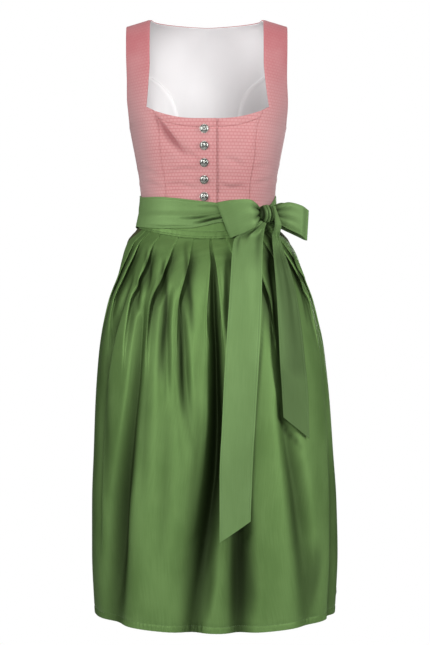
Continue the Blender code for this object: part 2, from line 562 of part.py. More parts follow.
def button(name, z):
    """A domed button with a flat rim, its back just off the upper front."""
    turns, rings = 12, 3
    angle = angle_at(np.array(BUTTON_X), np.array(z))
    normal = outward(angle, z)
    middle = figure(angle, z)
    rim = figure(angle_at(BUTTON_X + BUTTON_RADIUS * np.array((1.0, -1.0, 0.0, 0.0)), z),
                 z + BUTTON_RADIUS * np.array((0.0, 0.0, 1.0, -1.0)))
    seat = middle + normal * (max(0.0, float(np.max((rim - middle) @ normal))) + 0.0005)
    side = np.cross((0.0, 0.0, 1.0), normal)
    side = side / np.linalg.norm(side)
    up = np.cross(normal, side)
    profile = [(BUTTON_RADIUS, 0.0), (BUTTON_RADIUS, 0.0011)]
    for ring in range(1, rings + 1):
        lift = 0.5 * pi * ring / (rings + 1)
        profile.append((BUTTON_RADIUS * 0.93 * cos(lift), 0.0011 + (BUTTON_HEIGHT - 0.0011) * sin(lift)))
    bm = bmesh.new()
    loops = []
    for radius, height in profile:
        loop = []
        for k in range(turns):
            turn = tau * k / turns
            point = seat + radius * (cos(turn) * side + sin(turn) * up) + height * normal
            loop.append(bm.verts.new(point))
        loops.append(loop)
    for one, other in zip(loops, loops[1:]):
        for k in range(turns):
            following = (k + 1) % turns
            bm.faces.new((one[k], one[following], other[following], other[k]))
    bm.faces.new(loops[0][::-1])
    crown = bm.verts.new(seat + BUTTON_HEIGHT * normal)
    for k in range(turns):
        bm.faces.new((loops[-1][k], loops[-1][(k + 1) % turns], crown))
    finish(name, bm, SILVER, 0.35, 0.9)


# ---------------------------------------------------------------- skirt and apron
def flare_level(angle):
    """Level of the apron band's lower edge, below which the skirt spreads."""
    turn = np.radians(angle)
    return WAIST_Z - 0.003 - BAND_DIP * np.where(np.cos(turn) > 0.0, np.cos(turn) ** 2, 0.0)


def apron_columns(shares_after_drop, middle_shares, level):
    """Angles and pleat heights of lines down the apron that keep to its pleats."""
    edge = curve_through(APRON_EDGE, 1, level)
    flat = 0.0 * level
    lines = [(-edge, flat, 1)]
    for pleat in PLEATS:
        lines.append((pleat_angle(pleat, level), pleat[3] * pleat_height(level), pleat[4]))
    lines.append((edge, flat, -1))
    angles, heights = [], []
    for (start, start_height, start_drop), (end, end_height, end_drop) in zip(lines, lines[1:]):
        if start_drop > 0 and end_drop > 0:
            shares = shares_after_drop
        elif start_drop < 0 and end_drop < 0:
            shares = (0.0,) + tuple(1.0 - share for share in reversed(shares_after_drop[1:]))
        else:
            shares = middle_shares
        for share in shares:
            leaving = (1.0 - share) ** (6.0 if start_drop > 0 else 1.4)
            coming = share ** (6.0 if end_drop < 0 else 1.4)
            angles.append(blend(start, end, share))
            heights.append(start_height * leaving + end_height * coming)
    angles.append(edge)
    heights.append(flat)
    return np.concatenate(angles, axis=1), np.concatenate(heights, axis=1)


def skirt_front(name):
    """The part of the skirt that the apron covers, set back under the apron's folds."""
    share = np.array(SKIRT_ROWS)[:, None]
    level = blend(WAIST_Z, SKIRT_HEM_Z, share)
    angle, _ = apron_columns((0.0, 0.36, 0.78), (0.0, 0.5), level)
    side = np.full(level.shape, SKIRT_SEAM_ANGLE - SIDE_GAP)
    angle = np.concatenate((-side, angle, side), axis=1)
    level = blend(flare_level(angle) + BAND_TUCK, SKIRT_HEM_Z, share)
    level[0] = WAIST_Z - WAIST_SEAM_GAP
    covered = 1.0 - ease(np.abs(angle), COVERED_TO, SKIRT_SEAM_ANGLE)
    open_folds = front_folds(angle, level) + back_folds(angle, level)
    inner_folds = INNER_FOLD_DEPTH * front_folds(angle, level, INNER_FOLD_BREADTH)
    folds = blend(open_folds, inner_folds, covered)
    offset = hem_flick(angle, level) - folds - curve_through(SKIRT_SET_BACK, 1, level) * covered
    draped(name, angle, level, offset, SKIRT_WALL, OLIVE)


def skirt_back(name):
    """The gathered part of the skirt that shows behind the apron."""
    share = np.array(SKIRT_ROWS)[:, None]
    start, end = SKIRT_SEAM_ANGLE + SIDE_GAP, 360.0 - SKIRT_SEAM_ANGLE - SIDE_GAP
    angle = np.linspace(start, end, 3 * GATHER_COUNT + 1)[None, :] + 0.0 * share
    level = blend(flare_level(angle) + BAND_TUCK, SKIRT_HEM_Z, share)
    level[0] = WAIST_Z - WAIST_SEAM_GAP
    folds = back_folds(angle, level) + front_folds(angle, level)
    draped(name, angle, level, hem_flick(angle, level) - folds, SKIRT_WALL, OLIVE)


def apron_offset(angle, level, height):
    """Distance of the apron's outer face off the figure."""
    return APRON_WALL + SEAM_GAP + height - front_folds(angle, level)


def apron_panel(name):
    """The pleated apron, with rows that start tucked under its band."""
    share = np.array(SKIRT_ROWS)[:, None]
    level = blend(WAIST_Z, APRON_HEM_Z, share)
    angle, height = apron_columns((0.0, 0.12, 0.36, 0.68, 0.88), (0.0, 0.3, 0.5, 0.7), level)
    hem = APRON_HEM_Z + APRON_HEM_RISE * np.sin(np.radians(angle)) ** 4
    level = blend(flare_level(angle) + BAND_TUCK, hem, share)
    draped(name, angle, level, apron_offset(angle, level, height), APRON_WALL, GREEN, 0.45)


def apron_band(name):
    """The waistband that the apron's pleats are sewn to."""
    angle = np.linspace(-BAND_END_ANGLE, BAND_END_ANGLE, 27)[None, :]
    share = np.linspace(0.0, 1.0, 4)[:, None]
    level = blend(band_top(angle), flare_level(angle), share)
    offset = 2.0 * SEAM_GAP + APRON_WALL + RIBBON_WALL + PLEAT_ROOM
    draped(name, angle + 0.0 * level, level, offset, RIBBON_WALL, GREEN, 0.45)


def band_top(angle):
    """Level of the band's upper edge."""
    return blend(BAND_TOP_SIDE, BAND_TOP_FRONT, np.cos(np.radians(angle)) ** 2)


def ribbon_offset(angle, level):
    """The ribbon hugs the bodice above and behind, and lies over the apron's band in front."""
    away = np.abs((angle + 180.0) % 360.0 - 180.0)
    over = 4.0 * SEAM_GAP + APRON_WALL + 2.0 * RIBBON_WALL + PLEAT_ROOM
    hug = 3.0 * SEAM_GAP + RIBBON_WALL
    top = band_top(angle)
    front = blend(hug, over, ease(-level, -top - HUG_FROM, -top - HUG_TO))
    return blend(front, hug, ease(away, 80.0, 120.0))


def waist_ribbon(name, start, end, columns):
    """A stretch of the ribbon that is wrapped round the waist."""
    angle = np.linspace(start, end, columns)[None, :]
    signed = (angle + 180.0) % 360.0 - 180.0
    share = np.array((0.0, 0.26, 0.48, 0.64, 0.82, 1.0))[:, None]
    level = blend(curve_through(RIBBON_TOP, 1, signed), curve_through(RIBBON_BOTTOM, 1, signed), share)
    swell = RIBBON_SWELL * np.sin(pi * share) ** 0.5
    offset = ribbon_offset(angle, level) + swell
    draped(name, angle + 0.0 * level, level, offset, RIBBON_WALL, GREEN, 0.45)


# ---------------------------------------------------------------- bow
def bow_frame():
    """Seat, outward and sideways directions of the bow on the ribbon."""
    off = ribbon_offset(KNOT_ANGLE, BAND_TOP_FRONT) + 2.0 * SEAM_GAP
    seat = on_figure(KNOT_ANGLE, KNOT_Z, np.array(off))
    out = outward(KNOT_ANGLE, KNOT_Z)
    out = np.array((out[0], out[1], 0.0)) / np.hypot(out[0], out[1])
    along = np.array((-out[1], out[0], 0.0))
    return seat, out, along


def under_knot(places):
    """Points just under the knot, at these distances along it from its middle."""
    seat, out, along = bow_frame()
    share = 2.0 * places / KNOT_SIZE[0]
    flute = 1.0 + FLUTE_DEPTH * cos(FLUTE_TURN - 0.5 * pi * KNOT_FLUTES)
    tall = 0.5 * KNOT_SIZE[2] * (1.0 - share ** 2) ** 0.25 * flute + TAIL_ROOT_GAP
    middle = seat + out * (0.5 * KNOT_SIZE[1] + SEAM_GAP)
    return middle + along * places[:, None] - tall[:, None] * np.array((0.0, 0.0, 1.0)), out


def bow_knot(name):
    """The gathered knot, with soft flutes round it."""
    seat, out, along = bow_frame()
    turns, rings = 20, KNOT_RINGS
    centre = seat + out * (0.5 * KNOT_SIZE[1] + SEAM_GAP)
    bm = bmesh.new()
    loops = []
    for ring in range(1, rings):
        lift = pi * ring / rings
        loop = []
        for k in range(turns):
            turn = tau * k / turns
            flute = 1.0 + FLUTE_DEPTH * cos(KNOT_FLUTES * turn + FLUTE_TURN)
            side = 0.5 * KNOT_SIZE[0] * cos(lift)
            deep = 0.5 * KNOT_SIZE[1] * (sin(lift) ** 0.7) * cos(turn)
            tall = 0.5 * KNOT_SIZE[2] * (sin(lift) ** 0.5) * sin(turn) * flute
            point = centre + along * side + out * deep + np.array((0.0, 0.0, tall))
            loop.append(bm.verts.new(point))
        loops.append(loop)
    for one, other in zip(loops, loops[1:]):
        for k in range(turns):
            following = (k + 1) % turns
            bm.faces.new((one[k], one[following], other[following], other[k]))
    bm.faces.new(loops[0])
    bm.faces.new(loops[-1][::-1])
    finish(name, bm, GREEN, 0.45)


def bow_loop(name, turn, along_top, along_bottom, out_end, droop, tall):
    """One loop of the bow: a ribbon that goes out, turns round and comes back."""
    seat, out, along = bow_frame()
    going = [(share, height, front) for share, height, front, _ in LOOP_PROFILE]
    coming = [(share, height, rear) for share, height, _, rear in reversed(LOOP_PROFILE)]
    last = LOOP_PROFILE[-1]
    path = going + [(1.0, last[1], 0.5 * (last[2] + last[3]))] + coming
    across = np.linspace(1.0, -1.0, 6)
    start = 0.5 * KNOT_SIZE[0] * cos(pi / KNOT_RINGS) + LOOP_START_GAP
    face = np.zeros((len(path), len(across), 3))
    for r, (share, height, depth) in enumerate(path):
        for c, side in enumerate(across):
            reach = blend(along_bottom, along_top, 0.5 + 0.5 * side)
            run = start + (reach - start) * share
            face[r, c] = seat + along * (turn * run) + out * (depth + out_end * share ** 1.6)
            face[r, c, 2] += side * height * blend(1.0, tall, share) + droop * share ** 2
    normal = np.cross(np.gradient(face, axis=0), np.gradient(face, axis=1))
    normal = normal / np.linalg.norm(normal, axis=-1, keepdims=True)
    cloth(name, face, face - normal * RIBBON_WALL * turn, GREEN, 0.45)


def tail_root(name, across):
    """Rows of a ribbon end at the knot: the long one leaves from below, the short one from above."""
    if name == "tail_long":
        points, out = under_knot(blend(*TAIL_LONG_ROOT, across[0]))
        return (points + 0.5 * RIBBON_WALL * out)[None], out
    seat, out, along = bow_frame()
    rows = []
    for level, left, right, left_out, right_out in TAIL_SHORT_ROOT:
        place = seat + along * blend(left, right, across[0])[:, None]
        place = place + out * blend(left_out, right_out, across[0])[:, None]
        place[:, 2] = level
        rows.append(place)
    return np.array(rows), out


def tail(name, table):
    """A ribbon end that hangs over the apron."""
    across = np.linspace(0.0, 1.0, 6)[None, :]
    columns = [np.array([row[k] for row in table])[:, None] for k in range(5)]
    left_level, right_level, left_x, right_x, off = columns
    level = blend(left_level, right_level, across)
    x = blend(left_x, right_x, across)
    offset = APRON_WALL + RIBBON_WALL + off + curve_through(TAIL_STAND, 1, level)
    offset = offset * (1.0 - TAIL_SETTLE * ease(-level, -TAIL_SETTLE_FROM, -TAIL_SETTLE_TO))
    angle = angle_at(x, level)
    for _ in range(3):
        out = outward(angle, level) * np.array((1.0, 1.0, 0.0))
        out = out / np.linalg.norm(out, axis=-1, keepdims=True)
        angle = angle_at(x - out[..., 0] * offset, level)
    outer = figure(angle, level) + out * offset[..., None]
    root, root_out = tail_root(name, across)
    outer = np.concatenate((root, outer))
    out = np.concatenate((np.broadcast_to(root_out, root.shape), out))
    cloth(name, outer, outer - out * RIBBON_WALL, GREEN, 0.45)


# ---------------------------------------------------------------- the dress
def main():
    for old in list(bpy.data.objects):
        bpy.data.objects.remove(old, do_unlink=True)
    front_middle("front_middle_right", -1)
    front_middle("front_middle_left", 1)
    front_side("front_side_right", -1)
    front_side("front_side_left", 1)
    back_middle("back_middle", 0.0, WALL, PINK)
    back_side("back_side_right", -1, 0.0, WALL, PINK)
    back_side("back_side_left", 1, 0.0, WALL, PINK)
    inside = -WALL - SEAM_GAP
    back_middle("lining_middle", inside, LINING_WALL, WHITE)
    back_side("lining_side_right", -1, inside, LINING_WALL, WHITE)
    back_side("lining_side_left", 1, inside, LINING_WALL, WHITE)
    for k in range(BUTTON_COUNT):
        button(f"button_{k + 1}", BUTTON_TOP_Z - k * BUTTON_PITCH)
    skirt_front("skirt_front")
    skirt_back("skirt_back")
    apron_panel("apron_panel")
    apron_band("apron_band")
    edge = RIBBON_PARTING
    waist_ribbon("waist_ribbon_front", SIDE_GAP - edge, edge - SIDE_GAP, 33)
    waist_ribbon("waist_ribbon_back", edge + SIDE_GAP, 360.0 - edge - SIDE_GAP, 25)
    bow_knot("bow_knot")
    for name, sizes in LOOPS.items():
        bow_loop(name, **sizes)
    tail("tail_long", TAIL_LONG)
    tail("tail_short", TAIL_SHORT)


main()
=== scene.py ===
"""Looks of the dirndl dress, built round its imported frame.

Every piece of cloth is a thin shell that keeps to its solid: the same figure, folds and ribbon
as the frame, on a finer grid, with pleats that fold under, creases, seams and stitching.
"""
from functools import cache
from math import cos, pi, radians, sin, tau

import bpy
import numpy as np
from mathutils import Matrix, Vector


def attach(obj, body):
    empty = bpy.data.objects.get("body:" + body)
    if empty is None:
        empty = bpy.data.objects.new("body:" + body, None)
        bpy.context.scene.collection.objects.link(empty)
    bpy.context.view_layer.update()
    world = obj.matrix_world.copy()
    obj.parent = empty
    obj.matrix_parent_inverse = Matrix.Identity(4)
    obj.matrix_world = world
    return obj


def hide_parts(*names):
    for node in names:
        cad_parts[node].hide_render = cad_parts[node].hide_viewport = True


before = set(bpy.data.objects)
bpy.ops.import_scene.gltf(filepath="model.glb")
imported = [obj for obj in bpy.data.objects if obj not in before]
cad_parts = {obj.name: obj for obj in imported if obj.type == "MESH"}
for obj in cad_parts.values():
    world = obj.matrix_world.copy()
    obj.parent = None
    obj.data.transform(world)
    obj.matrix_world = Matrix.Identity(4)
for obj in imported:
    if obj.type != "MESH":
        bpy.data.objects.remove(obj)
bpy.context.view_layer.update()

# ---------------------------------------------------------------- dimensions shared with the frame
SEAM_GAP = 0.0003
WALL = 0.0014
LINING_WALL = 0.001
APRON_WALL = 0.0012
RIBBON_WALL = 0.0012
PLEAT_ROOM = 0.0015
ARMHOLE_Z = -0.196
WAIST_Z = -0.366
WAIST_SEAM_GAP = 0.0008
SKIRT_HEM_Z = -1.034
SKIRT_TOP_Z = WAIST_Z - WAIST_SEAM_GAP
APRON_HEM_Z = -1.0425
APRON_HEM_RISE = 0.007
SHOULDER_NECK_X = 0.097
SHOULDER_NECK_Z = -0.0036
SHOULDER_SLOPE = 0.29
FRONT_ARCH = 2.0
BACK_ARCH = 2.6
NECK_CORNER_X = 0.105
NECK_CORNER_RISE = 0.0245
NECK_FRONT_Z = -0.1905
NECK_BACK_Z = -0.0045
PLACKET_EDGE_X = 0.014
PLACKET_COVER = 0.0025
LAP_STEP = 0.0095
LAP_GAP = 0.0007
BUTTON_X = -0.006
BUTTON_TOP_Z = -0.2076
BUTTON_PITCH = 0.028
BUTTON_COUNT = 5
BUTTON_RADIUS = 0.0075
BUTTON_HEIGHT = 0.0042

# The figure's sections. half_width is to the side; front and back are depths from the
# middle plane; centre_x is the sway of the hanging skirt.
#  level    half_width  front    back   centre_x
SECTIONS = (
    (0.0, 0.1606, 0.1235, 0.124, -0.002),
    (-0.06, 0.1565, 0.1235, 0.119, -0.002),
    (-0.11, 0.152, 0.1235, 0.113, -0.0015),
    (-0.145, 0.1495, 0.1235, 0.107, -0.0007),
    (-0.17, 0.145, 0.1235, 0.102, 0.0),
    (-0.185, 0.1405, 0.1235, 0.1, 0.0),
    (-0.196, 0.1365, 0.1235, 0.098, 0.0),
    (-0.21, 0.1337, 0.1235, 0.096, 0.0),
    (-0.23, 0.1298, 0.121, 0.093, 0.0),
    (-0.255, 0.125, 0.114, 0.089, 0.0),
    (-0.28, 0.1205, 0.104, 0.086, 0.0),
    (-0.3, 0.1183, 0.097, 0.085, 0.0),
    (-0.32, 0.1168, 0.0955, 0.086, 0.0),
    (-0.34, 0.1178, 0.0965, 0.089, 0.0),
    (-0.366, 0.1225, 0.101, 0.096, 0.0),
    (-0.389, 0.1415, 0.116, 0.112, 0.0005),
    (-0.406, 0.1485, 0.125, 0.122, 0.0025),
    (-0.424, 0.1535, 0.132, 0.131, 0.004),
    (-0.459, 0.162, 0.145, 0.147, 0.0048),
    (-0.494, 0.1745, 0.155, 0.16, 0.005),
    (-0.529, 0.184, 0.163, 0.171, 0.0053),
    (-0.564, 0.192, 0.17, 0.179, 0.0062),
    (-0.6, 0.197, 0.176, 0.186, 0.0068),
    (-0.669, 0.203, 0.183, 0.194, 0.008),
    (-0.756, 0.2075, 0.188, 0.2, 0.0095),
    (-0.844, 0.212, 0.192, 0.204, 0.011),
    (-0.931, 0.213, 0.195, 0.207, 0.012),
    (-1.042, 0.208, 0.1965, 0.208, 0.012),
)
SQUARE_BODICE = 0.04         # how far the bodice's section bulges between its axes
SQUARE_FROM = -0.45          # and where that bulge begins
BUST = {"angle": 36.0, "spread": 20.0, "level": -0.225, "height": 0.045, "rise": 0.045}

# The apron's band sits lower in front than at the sides, and the skirt flares below it.
BAND_DIP = 0.024
BAND_DIP_END = -0.52
FLARE_DROP = 0.003           # from the waist seam to where the skirt spreads

# Edges of the bodice's pieces: distance from the middle plane at each level.
PRINCESS_SEAM = ((-0.366, 0.072), (-0.31, 0.071), (-0.25, 0.079), (-0.205, 0.083),
                 (-0.1735, 0.094))
STRAP_INNER = ((-0.166, 0.105), (-0.156, 0.1032), (-0.12, 0.0985), (-0.085, 0.0958),
               (0.0, 0.0965))
ARMHOLE_FRONT = ((-0.196, 90.0), (-0.192, 80.0), (-0.185, 74.0), (-0.17, 69.0),
                 (-0.145, 65.5), (-0.11, 62.5), (-0.06, 60.0), (0.0, 58.0))
ARMHOLE_BACK = ((-0.196, 90.0), (-0.192, 80.0), (-0.185, 72.0), (-0.17, 66.0),
                (-0.145, 60.5), (-0.11, 56.5), (-0.085, 56.0), (-0.06, 56.0),
                (-0.03, 57.0), (0.0, 58.0))
BACK_SEAM = ((-0.366, 0.042), (-0.305, 0.041), (-0.25, 0.047), (-0.2, 0.053),
             (-0.155, 0.058), (-0.135, 0.064), (-0.11, 0.08), (-0.09, 0.104),
             (-0.076, 0.127))

# ---------------------------------------------------------------- apron, folds and ribbon
#  name, angle at the band, angle below the hips, largest height, side of the drop
PLEATS = (
    ("left_5", -56.5, -81.0, 0.004, 1),
    ("left_4", -50.0, -67.0, 0.0065, 1),
    ("left_3", -38.0, -48.0, 0.0085, 1),
    ("left_2", -23.0, -33.0, 0.0095, 1),
    ("left_1", -11.0, -17.0, 0.009, 1),
    ("middle_left", 1.2, -1.6, 0.008, 1),
    ("middle_right", 3.0, 4.8, 0.008, -1),
    ("right_1", 14.3, 18.5, 0.0085, -1),
    ("right_2", 27.0, 33.0, 0.0085, -1),
    ("right_3", 40.0, 50.0, 0.008, -1),
    ("right_4", 50.0, 69.0, 0.0065, -1),
    ("right_5", 56.5, 82.0, 0.004, -1),
)
PLEAT_TOP = -0.372
PLEAT_FULL = -0.45          # the pleats stand highest here
PLEAT_END = -0.64           # and have run out into soft folds here
PLEAT_FLAT, PLEAT_HELD = 0.018, 0.02   # they lie flat first, and keep their height this long
PLEAT_SPREAD_END = -0.5    # the pleats spread apart down to here
LEAN_BREADTH = 28.0          # how far round the cloth leans with the middle fold, in degrees

#  name, ((level, angle, depth, half breadth), ...)
FRONT_FOLDS = (
    ("middle", ((-0.43, 1.9, 0.0, 0.004), (-0.5, 1.9, 0.01, 0.006),
                (-0.59, 2.5, 0.025, 0.009), (-0.674, 2.5, 0.03, 0.012),
                (-0.75, 1.6, 0.03, 0.015), (-0.844, -1.8, 0.029, 0.018),
                (-0.905, -4.8, 0.026, 0.02), (-0.965, -7.4, 0.021, 0.021),
                (-1.045, -10.8, 0.016, 0.021))),
    ("left_edge", ((-0.44, -54.0, 0.0, 0.009), (-0.5, -57.5, 0.009, 0.01),
                   (-0.56, -64.0, 0.013, 0.013), (-0.64, -68.0, 0.013, 0.014),
                   (-0.76, -69.0, 0.01, 0.014), (-0.86, -68.0, 0.005, 0.014),
                   (-0.93, -67.0, 0.0, 0.014))),
    ("left_long", ((-0.48, -38.5, 0.0, 0.008), (-0.54, -38.6, 0.01, 0.009),
                   (-0.62, -39.6, 0.013, 0.01), (-0.7, -42.6, 0.016, 0.012),
                   (-0.78, -46.2, 0.02, 0.017), (-0.86, -49.4, 0.023, 0.021),
                   (-0.94, -51.4, 0.021, 0.025), (-1.045, -56.0, 0.012, 0.031))),
    ("left_short", ((-0.47, -23.5, 0.0, 0.006), (-0.532, -23.6, 0.008, 0.007),
                    (-0.585, -22.8, 0.007, 0.008), (-0.68, -22.0, 0.0, 0.009))),
    ("left_inner", ((-0.5, -14.6, 0.0, 0.007), (-0.549, -14.4, 0.008, 0.008),
                    (-0.604, -13.7, 0.01, 0.009), (-0.676, -12.2, 0.007, 0.01),
                    (-0.76, -11.0, 0.0, 0.011))),
    ("under_ribbon", ((-0.64, 13.5, 0.0, 0.009), (-0.78, 12.0, 0.012, 0.012),
                      (-0.9, 12.0, 0.02, 0.016), (-0.98, 12.0, 0.019, 0.018),
                      (-1.045, 11.5, 0.015, 0.018))),
    ("right_inner", ((-0.44, 43.0, 0.0, 0.006), (-0.5, 39.5, 0.01, 0.008),
                     (-0.6, 36.5, 0.009, 0.011), (-0.7, 36.0, 0.003, 0.013))),
    ("right_long", ((-0.65, 35.0, 0.0, 0.013), (-0.725, 37.5, 0.01, 0.014),
                    (-0.79, 40.5, 0.012, 0.018), (-0.848, 42.5, 0.012, 0.021),
                    (-0.911, 44.5, 0.01, 0.023), (-1.045, 49.0, 0.006, 0.024))),
    ("right_edge", ((-0.48, 71.0, 0.0, 0.01), (-0.58, 73.5, 0.002, 0.011),
                    (-0.7, 74.0, 0.002, 0.013), (-0.86, 73.0, 0.008, 0.015),
                    (-0.96, 72.0, 0.01, 0.017), (-1.045, 72.0, 0.007, 0.017))),
)
#  name, angle at the top, angle at the hem, level where it starts, depth, half breadth
BACK_FOLDS = (
    ("side_left", 106.0, 107.0, -0.43, 0.011, 0.013),
    ("outer_left", 124.0, 122.0, -0.47, 0.016, 0.015),
    ("inner_left", 141.0, 143.0, -0.41, 0.011, 0.013),
    ("middle_left", 159.0, 161.0, -0.5, 0.018, 0.016),
    ("middle", 177.0, 180.0, -0.42, 0.012, 0.013),
    ("middle_right", 197.0, 199.0, -0.48, 0.018, 0.016),
    ("inner_right", 216.0, 217.0, -0.4, 0.011, 0.013),
    ("outer_right", 235.0, 238.0, -0.46, 0.015, 0.015),
    ("side_right", 254.0, 255.0, -0.43, 0.01, 0.013),
)
FOLD_GROWTH = 0.22           # a fold grows to its depth over this height
GATHER_COUNT = 17            # gathers of the skirt's back, sewn into the waist seam
GATHER_FROM, GATHER_TO = 101.07, 258.93
GATHER_HEIGHT = 0.0045
GATHER_FULL, GATHER_END = -0.4, -0.56
HEM_FLICK = {"angle": 104.0, "level": -1.01, "height": 0.018, "spread": 4.0, "tall": 0.035}

APRON_EDGE = ((-0.372, 62.0), (-0.385, 66.0), (-0.4, 73.0), (-0.42, 80.0), (-0.445, 86.0),
              (-0.48, 88.0), (-0.55, 90.0), (-0.75, 93.0), (-1.04, 95.0))
BAND_TOP_FRONT, BAND_TOP_SIDE = -0.358, -0.354
BAND_END_ANGLE = 66.0
BAND_TUCK = 0.008            # how far the apron reaches up behind its band
SKIRT_SEAM_ANGLE = 101.0     # side seams of the skirt
#  level, how far the covered part of the skirt hangs inside the figure's surface
SKIRT_SET_BACK = ((-0.366, 0.0006), (-0.376, 0.0006), (-0.446, 0.0065), (-0.54, 0.0065),
                  (-0.62, 0.009), (-1.04, 0.009))
COVERED_TO = 96.0            # the set-back fades out from here to the side seam
INNER_FOLD_DEPTH = 1.18      # the covered skirt's folds are deeper and broader than the
INNER_FOLD_BREADTH = 1.5     # apron's, so that the two layers stay apart
#  angle, level of the ribbon's edge; both edges draw together towards the knot
RIBBON_TOP = ((-180.0, -0.308), (-130.0, -0.309), (-90.0, -0.311), (-67.0, -0.3165),
              (-42.0, -0.3185), (-3.0, -0.3276), (8.0, -0.3301), (25.0, -0.332),
              (37.0, -0.334), (48.0, -0.335), (60.0, -0.331), (76.0, -0.318),
              (90.0, -0.311), (130.0, -0.309), (180.0, -0.308))
RIBBON_BOTTOM = ((-180.0, -0.3688), (-90.0, -0.3692), (-65.0, -0.3705), (-35.0, -0.3743),
                 (-15.0, -0.3743), (-3.0, -0.3705), (8.0, -0.365), (25.0, -0.3625),
                 (48.0, -0.3615), (60.0, -0.3635), (76.0, -0.368), (90.0, -0.3692),
                 (180.0, -0.3688))
HUG_FROM, HUG_TO = 0.016, 0.002   # the ribbon leaves the bodice this far above the band's top
HUG_ANGLES = (67.0, 92.0)         # it comes to hug the bodice all the way down here
RIBBON_SWELL = 0.0012             # the ribbon's middle stands out from its edges by this much
RIBBON_PARTING = 95.0             # angle where its front and back stretches meet

KNOT_ANGLE = 46.5
KNOT_Z = -0.348
KNOT_SIZE = (0.034, 0.022, 0.03)                   # along the waist, outward, up
KNOT_FLUTES = 5
FLUTE_DEPTH, FLUTE_TURN = 0.05, 0.6
KNOT_RINGS = 9
TAIL_ROOT_GAP = 0.0004       # between a ribbon end's root and the knot's underside

#  share of the loop's length, half height, outward place of the front and rear layers
LOOP_PROFILE = ((0.0, 0.008, 0.0085, 0.0022), (0.14, 0.015, 0.0135, 0.0016),
                (0.38, 0.0235, 0.0185, 0.0014), (0.72, 0.027, 0.0165, 0.0014),
                (0.95, 0.0285, 0.008, 0.0022))
#  waves where each loop is drawn into the knot: count, size, phase; dark: painted shade all over
#  the loop
LOOPS = {
    "bow_loop_right_hand": {"turn": -1, "along_top": 0.094, "along_bottom": 0.064,
                            "out_end": -0.0145, "droop": -0.014, "tall": 1.0,
                            "waves": (2.3, 0.0024, 0.7), "dark": 0.0},
    "bow_loop_left_hand": {"turn": 1, "along_top": 0.082, "along_bottom": 0.078,
                           "out_end": 0.022, "droop": -0.0185, "tall": 0.9,
                           "waves": (2.9, 0.003, 0.2), "dark": 0.13},
}

# Where the ribbon ends stand off the figure: more over the apron's pleats than below them.
TAIL_STAND = ((-0.36, 0.0), (-0.4, 0.0), (-0.45, 0.0085), (-1.0, 0.0085))
TAIL_SETTLE = 0.45           # share of the distance lost below the pleats
TAIL_SETTLE_FROM, TAIL_SETTLE_TO = -0.58, -0.7

# The roots are places along the knot's underside; the tables give, for each row below, the
# level of the left and the right edge, their x, and the distance off the skirt.
TAIL_LONG_ROOT = (-0.0135, -0.001)
#  level, places along the knot of the left and the right edge, distances out from its seat
TAIL_SHORT_ROOT = (
    (-0.3345, 0.006, 0.013, 0.0208, 0.0186),
    (-0.344, 0.0065, 0.016, 0.0236, 0.0198),
    (-0.356, 0.0075, 0.022, 0.0236, 0.0198),
    (-0.367, 0.009, 0.0265, 0.0222, 0.0196),
)
TAIL_LONG = (
    (-0.376, -0.374, 0.07, 0.0965, 0.0085),
    (-0.392, -0.388, 0.045, 0.0945, 0.008),
    (-0.42, -0.417, 0.0405, 0.0925, 0.006),
    (-0.458, -0.455, 0.038, 0.0912, 0.004),
    (-0.496, -0.493, 0.0356, 0.09, 0.003),
    (-0.55, -0.547, 0.032, 0.0875, 0.003),
    (-0.62, -0.616, 0.0275, 0.0835, 0.003),
    (-0.7, -0.692, 0.0238, 0.079, 0.003),
    (-0.79, -0.775, 0.0197, 0.074, 0.003),
    (-0.893, -0.859, 0.0197, 0.0707, 0.003),
)
TAIL_SHORT = (
    (-0.384, -0.384, 0.109, 0.1225, 0.0085),
    (-0.41, -0.41, 0.1105, 0.129, 0.007),
    (-0.45, -0.45, 0.113, 0.142, 0.005),
    (-0.49, -0.49, 0.1155, 0.151, 0.004),
    (-0.545, -0.545, 0.118, 0.1585, 0.003),
    (-0.597, -0.597, 0.12, 0.1634, 0.003),
    (-0.645, -0.655, 0.1231, 0.169, 0.003),
    (-0.69, -0.7275, 0.1257, 0.1708, 0.003),
)

# ---------------------------------------------------------------- small tools
UP = np.array((0.0, 0.0, 1.0))


def curve_through(rows, column, at):
    """Read a smooth curve through table rows; column 0 is where each row stands."""
    table = np.array(sorted((row[0], row[column]) for row in rows), dtype=float)
    place, value = table[:, 0], table[:, 1]
    step = np.diff(place)
    slope = np.diff(value) / step
    tangent = np.concatenate(([slope[0]], np.zeros(len(slope) - 1), [slope[-1]]))
    same_way = slope[:-1] * slope[1:] > 0.0
    mean = 3.0 * (step[:-1] + step[1:]) * np.where(same_way, 1.0, 0.0)
    below = (2.0 * step[1:] + step[:-1]) / np.where(same_way, slope[:-1], 1.0)
    above = (step[1:] + 2.0 * step[:-1]) / np.where(same_way, slope[1:], 1.0)
    tangent[1:-1] = mean / (below + above)
    at = np.clip(np.asarray(at, dtype=float), place[0], place[-1])
    index = np.clip(np.searchsorted(place, at) - 1, 0, len(step) - 1)
    width = step[index]
    t = (at - place[index]) / width
    start = value[index] * (1.0 + 2.0 * t) * (1.0 - t) ** 2
    start_tangent = tangent[index] * width * t * (1.0 - t) ** 2
    end = value[index + 1] * t * t * (3.0 - 2.0 * t)
    end_tangent = tangent[index + 1] * width * t * t * (t - 1.0)
    return start + start_tangent + end + end_tangent


def ease(value, start, end):
    """Rise smoothly from 0 at start to 1 at end."""
    t = np.clip((value - start) / (end - start), 0.0, 1.0)
    return t * t * (3.0 - 2.0 * t)


def between(level, start, full, fade, end):
    """Rise from 0 to 1 going down from start to full, and fall back to 0 from fade to end."""
    return ease(-level, -start, -full) * (1.0 - ease(-level, -fade, -end))


def blend(start, end, share):
    """The value at a share of the way from start to end."""
    return start + (end - start) * share


